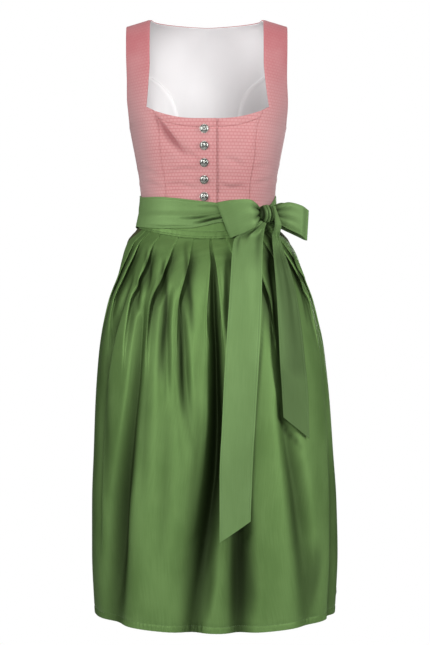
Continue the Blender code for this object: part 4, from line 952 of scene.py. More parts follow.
def lining(material):
    """The lining of the back, which stands up over the bodice's seams."""
    for name, side in (("lining_middle", 0), ("lining_side_right", -1), ("lining_side_left", 1)):
        if side:
            angle, level, _, away = side_grid(side, 90, 28)
            angle = angle + tucked(side, away, SEAM_TUCK)
            ridge = bell(away, SEAM_RIDGE_BREADTH)
            lift = 0.8 * LINING_WALL * (away == 0.0)
        else:
            angle, level, away = back_grid(110)
            ridge = bell(away, SEAM_RIDGE_BREADTH) * (level < BACK_SEAM_LEVELS[0])
            lift = 0.0
        offset = lining_relief(angle, level) - WALL - SEAM_GAP - SEAM_RIDGE * ridge + lift
        # painted highlight along the raised ridge over each seam
        bodice_cloth(name, side or -1, angle, level, offset, material, RIDGE_LIGHT * ridge,
                     LINING_WALL, LINING_SLOT)


BUTTON_TURNS, BUTTON_RINGS = 56, 26
BEADS, PETALS = 26, 9
BEAD_HEIGHT, PETAL_HEIGHT, BOSS_HEIGHT, RING_DEPTH = 0.00035, 0.0001, 0.00025, 0.00016
BUTTON_LIFT = 0.0004             # the button's rim stands over the cloth by this much
BUTTON_EDGE = 0.0012             # height of the rim
DOME_FROM = 0.9                  # share of the radius where the dome meets the rim


def button_height(s, turn):
    """Height over the seat at a share of the radius: dome, beaded rim, petals and a boss."""
    dome = BUTTON_EDGE - 0.0001
    if s < DOME_FROM:
        dome = blend(BUTTON_EDGE, BUTTON_HEIGHT, (1.0 - (s / DOME_FROM) ** 2) ** 0.5)
    beads = BEAD_HEIGHT * (0.6 + 0.4 * np.cos(BEADS * turn)) * bell(s - 0.945, 0.035)
    petals = PETAL_HEIGHT * np.cos(PETALS * turn) * bell(s - 0.6, 0.15)
    boss = BOSS_HEIGHT * bell(s, 0.16)
    return dome + beads + petals - RING_DEPTH * bell(s - 0.3, 0.035) + boss


def button(name, z, material):
    """A domed metal button, seated on the highest point of the cloth under it."""
    angle = angle_at(BUTTON_X, z)
    normal, middle = outward(angle, z), figure(angle, z)
    rim = figure(angle_at(BUTTON_X + BUTTON_RADIUS * np.array((1.0, -1.0, 0.0, 0.0)), z),
                 z + BUTTON_RADIUS * np.array((0.0, 0.0, 1.0, -1.0)))
    seat = middle + normal * (max(0.0, float(np.max((rim - middle) @ normal))) + BUTTON_LIFT)
    side = np.cross(UP, normal)
    side = side / np.linalg.norm(side)
    up = np.cross(normal, side)
    turn = np.arange(BUTTON_TURNS) * tau / BUTTON_TURNS
    spokes = BUTTON_RADIUS * (np.cos(turn)[:, None] * side + np.sin(turn)[:, None] * up)
    rings = [seat + spokes]
    for s in np.concatenate(([1.0], np.linspace(0.985, 0.03, BUTTON_RINGS))):
        rings.append(seat + s * spokes + button_height(s, turn)[:, None] * normal)
    piece = smooth_object(f"{name}_metal", rings, tube_faces(len(rings), BUTTON_TURNS), 70.0, name)
    dress(piece, "button_metal", material, name)


# ---------------------------------------------------------------- skirt and apron
SKIRT_WALL, APRON_SHEET = 0.0008, 0.0006   # thickness of the shells
CREST_PAINTED_LIGHT = 0.9                # painted light: share of the skirt's lighter colour outside its folds
CREST_DEPTH = 0.006             # the painted light is gone in folds of this depth
PLEATS_SHARE = 0.24              # share of the skirt's length that has pleats
SKIRT_HEM = 0.02                # from the skirt's hem to its row of stitching
HEM_STITCH_RISE = 0.011          # from the apron's hem to its row of stitching
BAND_STITCH_RISES = (0.0045, 0.013)
SMALL_GATHER = 0.001             # height of the fine gathers, and the levels where they
SMALL_GATHER_LEVELS = (-0.368, -0.385, -0.4, -0.49)   # begin, are full, fade and end
SOFT_WAVE = 0.0016               # height of the soft waves in the skirt's back
HEM_PUCKER, BAND_PUCKER = 0.0009, 0.00035   # height of the puckers along the stitching
SATIN_SLOT = "apron_satin"
# One folded pleat edge, from the upper layer round and back under it to the lower layer:
#  share of the nose radius along and up, share of the undercut along, share of the height up
PLEAT_TURN = (
    (-2.4, 0.0, 0.0, 1.0), (-1.0, 0.05, 0.0, 1.0), (0.1, -0.25, 0.0, 1.0),
    (0.5, -1.0, 0.0, 1.0), (0.1, -1.7, -0.05, 1.0), (-0.4, -2.0, -0.4, 0.82),
    (-0.3, 0.4, -0.8, 0.4), (-0.3, 0.9, -1.0, 0.1), (-0.2, 0.4, -1.02, 0.03),
    (0.0, 0.1, -0.9, 0.0), (0.3, 0.0, -0.4, 0.0), (1.0, 0.0, 0.05, 0.0), (2.4, 0.0, 0.1, 0.0),
)
PLEAT_NOSE = 0.0011
NOSE_POINTS = 6                  # points of the turn that lie on the upper layer
PANEL_STEPS = 15
UNDERCUT = 0.0085                # how far a pleat folds back under its edge, and the levels
UNDERCUT_LEVELS = (-0.392, -0.42, -0.44, -0.52)   # where that begins, is full, fades and ends
SHADE, SHADE_WIDTH = 0.72, 0.0095   # painted shade: how dark the lower layer is beside a pleat's edge, how far
SHADE_LEVELS = (-0.378, -0.42, -0.48, -0.6)   # where that begins, is full, fades and ends
PAINTED_SHADE_DEPTH = 0.0125               # painted shade: a fold this deep is dark for the most part


def flare_level(angle):
    """Level of the apron band's lower edge, below which the skirt spreads."""
    return WAIST_Z - FLARE_DROP - band_dip(angle)


def skirt_shares(fine, coarse):
    """Rows that lie close together over the pleats and further apart below them."""
    near, far = np.linspace(0.0, PLEATS_SHARE, fine), np.linspace(PLEATS_SHARE, 1.0, coarse)
    return np.concatenate((near, far[1:]))[:, None]


def skirt_levels(angle, share):
    """Levels of the skirt's rows, from the waist seam to its hem."""
    level = blend(np.minimum(flare_level(angle) + BAND_TUCK, SKIRT_TOP_Z), SKIRT_HEM_Z, share)
    level[0] = SKIRT_TOP_Z
    return level


def skirt_cloth(name, angle, level, offset, folds, material):
    """Painted light: the skirt takes its lighter colour where it is least deep in its folds."""
    crest = CREST_PAINTED_LIGHT * np.exp(-np.clip(folds, 0.0, 1.0) / CREST_DEPTH)
    outer = draped(angle, level, hem_flick(angle, level) + offset)
    dress(shell(name, outer, SKIRT_WALL, painted_shading=crest), "skirt_cloth", material, name)


def skirt_front(name, material):
    """The part of the skirt that the apron covers."""
    angle = np.linspace(-SKIRT_SEAM_ANGLE, SKIRT_SEAM_ANGLE, 221)[None, :]
    level = skirt_levels(angle, skirt_shares(26, 34))
    covered = 1.0 - ease(np.abs(angle), COVERED_TO, SKIRT_SEAM_ANGLE)
    open_folds = front_folds(angle, level) + back_folds(angle, level)
    inner_folds = INNER_FOLD_DEPTH * front_folds(angle, level, INNER_FOLD_BREADTH)
    folds = blend(open_folds, inner_folds, covered)
    set_back = curve_through(SKIRT_SET_BACK, 1, level) * covered
    skirt_cloth(name, angle, level, -folds - set_back, folds, material)


def small_gathers(angle, level):
    """Fine gathers between the large ones, uneven in breadth and length."""
    turn = np.radians(angle)
    wave = uneven_wave(turn, 88.0, 2.0, 11.0) + 0.5 * np.sin(53.0 * turn + 1.3)
    return SMALL_GATHER * wave * between(level, *SMALL_GATHER_LEVELS)


def skirt_back(name, material):
    """The gathered part of the skirt that shows behind the apron."""
    angle = np.linspace(SKIRT_SEAM_ANGLE, 360.0 - SKIRT_SEAM_ANGLE, 421)[None, :]
    level = skirt_levels(angle, skirt_shares(52, 46))
    folds = back_folds(angle, level) + front_folds(angle, level)
    soft = SOFT_WAVE * uneven_wave(np.radians(angle), 17.0, 1.5, 6.0) * ease(-level, 0.5, 0.7)
    fine = small_gathers(angle, level)
    hem = groove(level - SKIRT_HEM_Z - SKIRT_HEM, depth=0.0006, breadth=0.0018)
    # painted light also on the crests of the fine gathers and soft waves
    offset, shaded = fine + soft + hem - folds, folds - 4.0 * fine - 1.5 * soft
    skirt_cloth(name, angle, level, offset, shaded, material)


def pleat_turn(pleat, level, radius, spread):
    """Angles and heights of the lines round one pleat's folded edge, from left to right."""
    height = pleat[3] * pleat_height(level)
    nose = np.minimum(PLEAT_NOSE, 0.3 * height)
    under = np.minimum(UNDERCUT * between(level, *UNDERCUT_LEVELS), 2.0 * height)
    angles, heights = [], []
    for k, (along, up, back, rise) in enumerate(PLEAT_TURN):
        away = along * nose + back * under + spread * (k - 0.5 * (len(PLEAT_TURN) - 1))
        angles.append(pleat_angle(pleat, level) + pleat[4] * np.degrees(away / radius))
        heights.append(np.maximum(rise * height + up * nose, 0.0))
    lower = [k >= NOSE_POINTS for k in range(len(PLEAT_TURN))]
    step = pleat[4]
    return angles[::step], heights[::step], lower[::step]


def apron_grid(level):
    """Angles, heights and painted shade of the lines down the apron, with its pleats folded under.
    """
    radius = mean_radius(level)
    spread = 0.00016 + 0.0011 * ease(-level, -PLEAT_FULL, -PLEAT_END)
    edge, none = curve_through(APRON_EDGE, 1, level), 0.0 * level
    grown = SHADE * between(level, *SHADE_LEVELS)
    lines = [(-edge, none, none)]
    last_angle, last_height, last_drop = -edge, none, 0
    for pleat in PLEATS + (None,):
        drop = pleat[4] if pleat else 0
        turned = pleat_turn(pleat, level, radius, spread) if pleat else ([edge], [none], [False])
        next_angle, next_height = turned[0][0], turned[1][0]
        for share in np.arange(1, PANEL_STEPS) / PANEL_STEPS:
            place = blend(last_angle, next_angle, share)
            height = next_height * share ** 1.4 if drop > 0 else none
            height = height + last_height * (1.0 - share) ** 1.4 if last_drop < 0 else height
            after = np.radians(place - last_angle) * radius if last_drop > 0 else 1.0
            before = np.radians(next_angle - place) * radius if drop < 0 else 1.0
            shade = np.maximum(bell(after, SHADE_WIDTH), bell(before, SHADE_WIDTH))
            lines.append((place, height, grown * shade))
        lines += [(place, height, grown * is_lower) for place, height, is_lower in zip(*turned)]
        last_angle, last_height, last_drop = turned[0][-1], turned[1][-1], drop
    return (np.concatenate(grid, axis=1) for grid in zip(*lines))


def apron_panel(name, material, thread):
    """The pleated apron, with its hem turned up and stitched."""
    share = skirt_shares(44, 50)
    near_hem = np.array((0.03, 0.02, 0.017, 0.016, 0.015, 0.012, 0.006, 0.002, 0.0))[:, None]
    share = np.concatenate((share[share[:, 0] < 0.965], 1.0 - near_hem))
    angle, height, under = apron_grid(blend(WAIST_Z, APRON_HEM_Z, share))
    turn = np.radians(angle)
    hem = APRON_HEM_Z + APRON_HEM_RISE * np.sin(turn) ** 4
    level = blend(flare_level(angle) + BAND_TUCK, hem, share)
    folds, relief = front_folds(angle, level), creases(angle, level, APRON_CREASES)
    # painted shade: darker deep in the folds and creases, beside the pleats' edges, in the listed
    # shade places and at the apron's edges
    light = np.exp(-(folds / PAINTED_SHADE_DEPTH) ** 1.5) * (1.0 - 0.35 * ease(-relief, 0.0008, 0.0045))
    for shade in (under, shades(angle, level), side_shade(angle, level)):
        light = light * (1.0 - shade)
    pucker = HEM_PUCKER * uneven_wave(turn, 150.0, 3.0, 9.0) * bell(level - hem - 0.006, 0.007)
    pucker = pucker * (0.35 + 0.65 * bell(angle + 8.0, 16.0))
    offset = APRON_WALL + SEAM_GAP + height - folds + relief + pucker
    offset = offset + groove(level - hem - HEM_STITCH_RISE, depth=0.0007, breadth=0.0016)
    outer = draped(angle, level, offset)
    painted_shading = np.clip(1.0 - light, 0.0, 1.0)
    dress(shell(name, outer, APRON_SHEET, painted_shading=painted_shading), SATIN_SLOT, material, name)
    row = int(np.argmin(np.abs(level[:, 100] - hem[0, 100] - HEM_STITCH_RISE)))
    stitches(name, "hem_stitches", outer, row, SATIN_SLOT, thread, pitch=0.004, length=0.0027)


def apron_band(name, material, thread):
    """The waistband that the apron's pleats are sewn to, with two rows of stitching."""
    angle = np.linspace(-BAND_END_ANGLE, BAND_END_ANGLE, 161)[None, :]
    low = flare_level(angle)
    level = blend(band_top(angle), low, np.linspace(0.0, 1.0, 46)[:, None])
    offset = 2.0 * SEAM_GAP + APRON_WALL + RIBBON_WALL + PLEAT_ROOM
    for rise in BAND_STITCH_RISES:
        offset = offset + groove(level - low - rise, depth=0.0004, breadth=0.001)
    pucker = BAND_PUCKER * uneven_wave(np.radians(angle), 70.0, 2.0, 13.0) * bell(level - low, 0.01)
    offset = offset + seam_roll(level - low, depth=0.0008, breadth=0.0012) + pucker
    outer = draped(angle, level, offset)
    # painted shade where the ribbon's ends hang over the band
    dress(shell(name, outer, RIBBON_WALL, painted_shading=shades(angle, level)), SATIN_SLOT, material, name)
    for k, rise in enumerate(BAND_STITCH_RISES):
        row = int(np.argmin(np.abs(level[:, 80] - low[0, 80] - rise)))
        stitches(name, f"stitches_{k + 1}", outer, row, SATIN_SLOT, thread)


# ---------------------------------------------------------------- ribbon and bow
RIBBON_SLOT = "ribbon_satin"
RIBBON_WIDTH, CREASED_WIDTH = 0.055, 0.05   # the ribbon, and where it is wrapped round the waist
HEM_AT = 0.0035                  # from the ribbon's edges to their stitches
HEM_GROOVE = 0.0004              # how far the cloth is drawn in there
LOOP_WALL, TAIL_WALL = 0.0009, 0.0008
#  the knot's upright pinches: share of the way along it, depth, half breadth
KNOT_CREASES = ((-0.76, 0.0036, 0.16), (-0.26, 0.0026, 0.07), (0.24, 0.0046, 0.13),
                (0.74, 0.0034, 0.12))
KNOT_SHADE, KNOT_DARK = 0.18, 0.005   # painted shade all over the knot, and the pinch that is quite dark
KNOT_LINES, KNOT_TURNS = 74, 72
LOOP_FLAT = 0.95                 # the two layers of a loop lie apart up to this share of it
LOOP_LINES, LOOP_COLUMNS = 34, 40
LOOP_BULGE = 0.0016              # the layers swell by this much
LOOP_IN_KNOT = 0.0012            # how far a loop starts inside the knot
KNOT_GRAIN = 0.013               # radius at which the knot's cloth is laid out
KNOT_SLANT = 0.1                 # its pinches lean by this much
DARKEST = 0.97                   # the knot's painted shade is no darker than this
TAIL_SWAY = 0.0012
#  soft folds down each end: place across, depth, half breadth, level where it has gone
TAIL_FOLDS = {
    "tail_long": ((0.22, 0.0022, 0.13, -0.45), (0.48, -0.002, 0.12, -0.48),
                  (0.8, 0.003, 0.14, -0.56)),
    "tail_short": ((0.34, 0.0026, 0.15, -0.56), (0.7, 0.0028, 0.14, -0.62)),
}
#  level where the painted shade starts, is full, begins to fade and has gone; place across, half
#  breadth, strength
TAIL_SHADES = {
    "tail_long": ((-0.37, -0.374, -0.376, -0.402, 0.44, 0.07, 0.75),
                  (-0.372, -0.39, -0.4, -0.455, 0.84, 0.1, 0.45),
                  (-0.64, -0.8, -1.0, -1.1, 0.4, 1.5, 0.15),
                  (-0.374, -0.38, -0.39, -0.43, 0.16, 0.06, 0.5)),
    "tail_short": ((-0.395, -0.43, -0.48, -0.57, 0.8, 0.28, 0.65),
                   (-0.38, -0.43, -0.6, -0.69, 0.6, 0.8, 0.64),
                   (-0.56, -0.62, -0.9, -1.0, 0.3, 1.2, 0.52),
                   (-0.3, -0.32, -0.37, -0.42, 0.05, 0.22, 0.45)),
}


def band_top(angle):
    """Level of the band's upper edge."""
    return blend(BAND_TOP_SIDE, BAND_TOP_FRONT, np.cos(np.radians(angle)) ** 2)


def ribbon_offset(angle, level):
    """The ribbon hugs the bodice above and behind, and lies over the apron's band in front."""
    over = 4.0 * SEAM_GAP + APRON_WALL + 2.0 * RIBBON_WALL + PLEAT_ROOM
    hug = 3.0 * SEAM_GAP + RIBBON_WALL
    top = band_top(angle)
    front = blend(hug, over, ease(-level, -top - HUG_FROM, -top - HUG_TO))
    return blend(front, hug, ease(np.abs(half_turn(angle)), *HUG_ANGLES))


def edge_hem(share, width):
    """The narrow stitched hem along a ribbon's two edges."""
    near = np.minimum(share, 1.0 - share) * width
    return groove(near - HEM_AT, HEM_GROOVE, 0.0008) + groove(near, HEM_GROOVE, 0.0007)


def waist_ribbon(name, start, end, columns, material):
    """A stretch of the ribbon that is wrapped round the waist, creased towards the bow."""
    angle = np.linspace(start, end, columns)[None, :]
    signed = half_turn(angle)
    share = fine_edges((0.0, 0.008, 0.02, 0.035, 0.05, 0.062, 0.075, 0.09), 0.11, 60).T
    top, bottom = (curve_through(table, 1, signed) for table in (RIBBON_TOP, RIBBON_BOTTOM))
    level = blend(top, bottom, share)
    swell = np.sin(pi * share)
    relief = 0.0 * level
    if name == "waist_ribbon_front":
        relief = creases(angle, level, RIBBON_CREASES)
    wave = np.sin(170.0 * level + 2.0 * np.sin(3.0 * np.radians(angle)))
    offset = ribbon_offset(angle, level) + edge_hem(share, CREASED_WIDTH) + relief
    outer = draped(angle, level, offset + RIBBON_SWELL * swell ** 0.5 + 0.0004 * wave * swell)
    # painted shade in the ribbon's creases
    painted_shading = 0.85 * ease(-relief, 0.0005, 0.0026)
    dress(shell(name, outer, RIBBON_WALL, painted_shading=painted_shading), RIBBON_SLOT, material, name)


def bow_frame():
    """Seat of the bow on the ribbon, middle of the knot, outward and sideways directions."""
    off = ribbon_offset(KNOT_ANGLE, BAND_TOP_FRONT) + 2.0 * SEAM_GAP
    seat = draped(KNOT_ANGLE, KNOT_Z, off)
    out = outward(KNOT_ANGLE, KNOT_Z) * (1.0, 1.0, 0.0)
    out = out / np.linalg.norm(out)
    return seat, seat + out * (0.5 * KNOT_SIZE[1] + SEAM_GAP), out, np.cross(UP, out)


def bow_knot(name, material):
    """The knot: the ribbon wound over itself, pinched into upright folds."""
    _, middle, out, along = bow_frame()
    length, thick, tall = (0.5 * size for size in KNOT_SIZE)
    lift = np.linspace(0.1, pi - 0.1, KNOT_LINES)[:, None]
    turn = (np.arange(KNOT_TURNS) * tau / KNOT_TURNS)[None, :]
    side = -np.cos(lift)
    slanted = side + KNOT_SLANT * np.sin(turn)
    pinch = sum(depth * bell(slanted - place, breadth) for place, depth, breadth in KNOT_CREASES)
    flute = 1.0 + 0.04 * np.cos(KNOT_FLUTES * turn + FLUTE_TURN)
    deep = (thick * np.sin(lift) ** 0.7 - pinch) * np.cos(turn)
    high = (tall * np.sin(lift) ** 0.5 * flute - 0.7 * pinch) * np.sin(turn)
    place = middle + along * (length * side)[..., None] + out * deep[..., None]
    place = place + UP * high[..., None]
    piece = smooth_object(name, place, tube_faces(KNOT_LINES, KNOT_TURNS, inward=True))
    # painted shade: darker all over, in the pinches and towards one end of the knot
    shade = np.clip(KNOT_SHADE + pinch / KNOT_DARK + 0.5 * ease(-side, 0.35, 0.9), 0.0, DARKEST)
    flat = np.broadcast_arrays(length * side, KNOT_GRAIN * turn, 0.0)
    write_points(piece, np.stack(flat, axis=-1), shade)
    dress(piece, RIBBON_SLOT, material, name)


def bow_loop(name, material, turn, along_top, along_bottom, out_end, droop, tall, waves, dark):
    """One loop of the bow: the ribbon goes out, turns round and comes back."""
    seat, _, out, along = bow_frame()
    fine = np.linspace(0.0, 1.0, LOOP_LINES)
    end = [0.97, 0.985, 0.995, 1.0, 0.995, 0.985, 0.97]
    share = np.concatenate((fine * LOOP_FLAT, end, fine[::-1] * LOOP_FLAT))[:, None]
    layer = [0.92, 0.8, 0.65, 0.5, 0.35, 0.2, 0.08]   # from 1 in front to 0 behind
    layer = np.concatenate((np.ones(LOOP_LINES), layer, np.zeros(LOOP_LINES)))[:, None]
    half, front, rear = (curve_through(LOOP_PROFILE, k, share) for k in (1, 2, 3))
    side = np.linspace(1.0, -1.0, LOOP_COLUMNS)[None, :]
    count, size, phase = waves
    start = 0.5 * KNOT_SIZE[0] * cos(pi / KNOT_RINGS) - LOOP_IN_KNOT
    run = blend(start, blend(along_bottom, along_top, 0.5 + 0.5 * side), share)
    wave = np.sin(pi * count * side + phase + 1.2 * share)
    gather = size * wave * (1.0 - share) ** 2.6 * ease(share, 0.0, 0.1)
    # painted shade near the knot and in the troughs of the gathers, with the loop's dark share all
    # over
    painted_shading = dark + 0.8 * bell(share, 0.15) + 0.5 * np.clip(-wave, 0.0, 1.0) * bell(share, 0.34)
    bulge = LOOP_BULGE * np.sin(pi * np.clip(share / LOOP_FLAT, 0.0, 1.0)) * (1.0 - side ** 2)
    relief = gather + bulge + edge_hem(0.5 + 0.5 * side, RIBBON_WIDTH)
    depth = blend(rear, front, layer) + out_end * share ** 1.6 + relief * (2.0 * layer - 1.0)
    rise = side * half * blend(1.0, tall, share) + droop * share ** 2
    place = seat + along * (turn * run)[..., None] + out * depth[..., None] + UP * rise[..., None]
    painted_shading = np.clip(painted_shading, 0.0, 0.95)
    if turn < 0:
        place, painted_shading = flipped(place, painted_shading)
    dress(shell(name, place, LOOP_WALL, painted_shading=painted_shading), RIBBON_SLOT, material, name)


def rows_through(rows, count):
    """More rows of points, drawn smoothly through the given ones."""
    flat = np.reshape(rows, (len(rows), -1))
    table = np.concatenate((np.arange(len(rows))[:, None], flat), axis=1)
    at = np.linspace(0.0, len(rows) - 1.0, count)
    lines = [curve_through(table, k + 1, at) for k in range(flat.shape[1])]
    return np.stack(lines, axis=1).reshape(count, *np.shape(rows)[1:])


def tail_root(name, across):
    """A ribbon end's rows at the knot: the long one leaves from below, the short one from above."""
    seat, middle, out, along = bow_frame()
    if name == "tail_long":
        places = blend(*TAIL_LONG_ROOT, across)
        flute = 1.0 + FLUTE_DEPTH * cos(FLUTE_TURN - 0.5 * pi * KNOT_FLUTES)
        tall = 0.5 * KNOT_SIZE[2] * flute * (1.0 - (2.0 * places / KNOT_SIZE[0]) ** 2) ** 0.25
        under = middle + along * places[..., None] - UP * (tall + TAIL_ROOT_GAP)[..., None]
        return under + 0.5 * RIBBON_WALL * out
    level, left, right, left_out, right_out = np.array(TAIL_SHORT_ROOT).T[..., None]
    rows = seat + along * blend(left, right, across)[..., None]
    rows = rows + out * blend(left_out, right_out, across)[..., None]
    rows[..., 2] = level
    return rows


def tail(name, table, material, thread):
    """A ribbon end that hangs over the apron, gathered where it leaves the knot."""
    across = fine_edges((0.0, 0.015, 0.035, 0.06, 0.085, 0.11), 0.15, 22)
    left_level, right_level, left_x, right_x, off = rows_through(table, 110).T[..., None]
    level = blend(left_level, right_level, across)
    x = blend(left_x, right_x, across)
    offset = APRON_WALL + RIBBON_WALL + off + curve_through(TAIL_STAND, 1, level)
    offset = offset * (1.0 - TAIL_SETTLE * ease(-level, -TAIL_SETTLE_FROM, -TAIL_SETTLE_TO))
    for middle, depth, breadth, gone in TAIL_FOLDS[name]:
        fade = 1.0 - ease(-level, -table[0][0], -gone)
        offset = offset - depth * fade * bell(across - middle, breadth)
    sway = TAIL_SWAY * np.sin(level * 21.0 + 2.4 * across) * ease(-level, 0.45, 0.6)
    offset = offset + sway + edge_hem(across, RIBBON_WIDTH)
    angle = angle_at(x, level)
    for _ in range(3):
        out = outward(angle, level) * (1.0, 1.0, 0.0)
        out = out / np.linalg.norm(out, axis=-1, keepdims=True)
        angle = angle_at(x - out[..., 0] * offset, level)
    outer = figure(angle, level) + out * offset[..., None]
    root = tail_root(name, across)
    neck = rows_through(np.concatenate((root, outer[:1])), 7 * len(root) + 1)[:-1]
    # painted shade in bands down the ribbon end
    shade = np.zeros(level.shape)
    for start, full, fade, end, middle, breadth, strength in TAIL_SHADES[name]:
        down = between(level, start, full, fade, end)
        shade = np.maximum(shade, strength * down * bell(across - middle, breadth))
    shade = np.concatenate((np.repeat(shade[:1], len(neck), axis=0), shade))
    outer = np.concatenate((neck, outer))
    dress(shell(name, outer, TAIL_WALL, painted_shading=shade), RIBBON_SLOT, material, name)
    for k, column in enumerate((3, -4)):
        stitches(name, f"stitches_{k + 1}", outer, np.s_[8:-1, column], RIBBON_SLOT, thread)


# ---------------------------------------------------------------- materials
class Wire:
    """A value that runs through a material's nodes, with its arithmetic."""

    def __init__(self, nodes, socket):
        self.nodes, self.socket = nodes, socket

    def math(self, operation, other=None):
        """One operation on the value, with another value or a constant."""
        return self.nodes.add("ShaderNodeMath", self, other, operation=operation)

    def __add__(self, other):
        return self.math("ADD", other)

    def __sub__(self, other):
        return self.math("SUBTRACT", other)

    def __mul__(self, other):
        return self.math("MULTIPLY", other)

    def smooth(self, low, high, to_low=0.0, to_high=1.0):
        """Go softly from to_low to to_high while the value goes from low to high."""
        return self.nodes.add("ShaderNodeMapRange", self, low, high, to_low, to_high,
                              interpolation_type="SMOOTHSTEP")


class Nodes:
    """A Principled material and short calls for the nodes in front of it."""

    def __init__(self, name, roughness, metallic=0.0, **sockets):
        self.material = bpy.data.materials.new(name)
        self.material.use_nodes = True
        self.tree = self.material.node_tree
        self.shader = self.tree.nodes["Principled BSDF"]
        self.put(self.shader, Roughness=roughness, Metallic=metallic, **sockets)

    def put(self, node, *numbered, **named):
        """Set a node's inputs, by their places or their names, to constants or wires."""
        for key, value in [*enumerate(numbered), *named.items()]:
            key = key.replace("_", " ") if isinstance(key, str) else key
            if isinstance(value, Wire):
                self.tree.links.new(value.socket, node.inputs[key])
            elif value is not None:
                node.inputs[key].default_value = value

    def add(self, kind, *inputs, output=0, **settings):
        """Add a node, set it up, and give one of its outputs as a wire."""
        node = self.tree.nodes.new(kind)
        for key, value in settings.items():
            setattr(node, key, value)
        self.put(node, *inputs)
        return Wire(self, node.outputs[output])

    def cut(self, across=1.0, down=1.0):
        """Place on the cloth in metres, scaled."""
        place = self.add("ShaderNodeAttribute", output="Vector", attribute_name="cut")
        return self.add("ShaderNodeVectorMath", place, (across, down, 1.0), operation="MULTIPLY")

    def place(self, across=1.0, down=1.0):
        """The same, as two wires."""
        parts = self.add("ShaderNodeSeparateXYZ", self.cut(across, down)).socket.node.outputs
        return Wire(self, parts[0]), Wire(self, parts[1])

    def painted_shading(self):
        """The share of painted shade at the point, from 0 to 1; on the lining's seams and the
        skirt's crests it is painted light.
        """
        return self.add("ShaderNodeAttribute", output="Fac", attribute_name="painted_shading")

    def on_object(self):
        """Place on the object in metres."""
        return self.add("ShaderNodeTexCoord", output="Object")

    def noise(self, vector, detail, scale=1.0):
        """Soft random values from 0 to 1."""
        return self.add("ShaderNodeTexNoise", vector, None, scale, detail)

    def mix(self, share, one, other):
        """A colour between two others."""
        ends = [colour if isinstance(colour, Wire) else (*colour, 1.0) for colour in (one, other)]
        return self.add("ShaderNodeMix", share, *[None] * 5, *ends, output=2, data_type="RGBA")

    def finish(self, colour, relief=None, distance=0.0, strength=1.0, **sockets):
        """Lead the colour, the relief and other values into the shader."""
        if relief:
            bump = self.add("ShaderNodeBump")
            self.put(bump.socket.node, Strength=strength, Distance=distance, Height=relief)
            sockets["Normal"] = bump
        self.put(self.shader, Base_Color=colour, **sockets)
        return self.material


JACQUARD_REPEAT = 0.0056
PINK_GROUND = (0.51, 0.21, 0.213)
PINK_LIGHT = (0.575, 0.28, 0.276)
PINK_LINE = (0.47, 0.155, 0.165)
PINK_SIDE_SHADE = (0.345, 0.19, 0.194)         # painted shade: greyer towards the sides
PINK_SHOULDER = (0.44, 0.11, 0.125)      # and redder over the shoulders
PINK_CREASE_SHADE = (0.25, 0.06, 0.068)          # painted shade: darker and redder in its creases
PINK_WORN = (0.58, 0.36, 0.35)           # and paler in soft clouds
PAINTED_SHADE_GREEN = (0.012, 0.02, 0.006)      # painted shade: the satin deep inside a fold
TWILL_PITCH = 0.0016
SILVER_DARK, SILVER_BRIGHT = (0.06, 0.064, 0.056), (0.4, 0.41, 0.38)
NOWHERE = (1.0, 2.0, 1.0)        # painted grey that starts beyond the cloth
LINING_MIDDLE = pi * GRAIN_RADIUS - 0.028   # where the lining's painted shade is least, along its grain


def jacquard():
    """A woven check of small pale figures on pink, set half a repeat apart in every second row."""
    m = Nodes("bodice_jacquard_cloth", 0.82, Sheen_Weight=0.15, Sheen_Roughness=0.5)
    across, down = m.place(1.0 / JACQUARD_REPEAT, 1.0 / JACQUARD_REPEAT)
    across = across + m.noise(m.cut(60.0, 60.0), 1.0) * 0.12
    shift = down.math("FLOOR").math("MODULO", 2.0) * 0.5
    x = ((across + shift).math("FRACT") - 0.5).math("ABSOLUTE")
    y = (down.math("FRACT") - 0.5).math("ABSOLUTE")
    square, heart = x.math("MAXIMUM", y).smooth(0.47, 0.2), (x + y).smooth(0.17, 0.09)
    thread = m.noise(m.cut(1400.0, 260.0), 2.0)
    pale = square * (heart * -0.55 + 1.0) * thread.smooth(0.25, 0.65, 0.62, 1.0)
    rib = y.smooth(0.26, 0.49)
    colour = m.mix(pale, PINK_GROUND, PINK_LIGHT)
    colour = m.mix(rib * 0.55, colour, PINK_LINE)
    # painted shade: the pink turns greyer towards the sides, and more on the wearer's right
    turn = m.place(1.0 / GRAIN_RADIUS)[0]
    sideways = turn.math("SINE")
    in_front = turn.math("COSINE").smooth(-0.3, 0.1, 0.35, 1.0)
    aside_shade = sideways.math("ABSOLUTE").smooth(0.54, 0.96, 0.0, 0.82)
    colour = m.mix(aside_shade * in_front, colour, PINK_SIDE_SHADE)
    colour = m.mix((sideways * -1.0).smooth(0.5, 0.95, 0.0, 0.3), colour, PINK_SIDE_SHADE)
    colour = m.mix(m.place()[1].smooth(0.19, 0.02, 0.0, 0.8), colour, PINK_SHOULDER)
    # painted shade in the bodice's creases
    colour = m.mix(m.painted_shading(), colour, PINK_CREASE_SHADE)
    colour = m.mix(m.noise(m.cut(22.0, 22.0), 3.0).smooth(0.35, 0.75, 0.0, 0.14), colour, PINK_WORN)
    relief = pale * 0.6 + thread * 0.4 - rib * 0.5
    return m.finish(colour, relief, 0.0003, 0.5, Roughness=pale.smooth(0.0, 1.0, 0.86, 0.72))


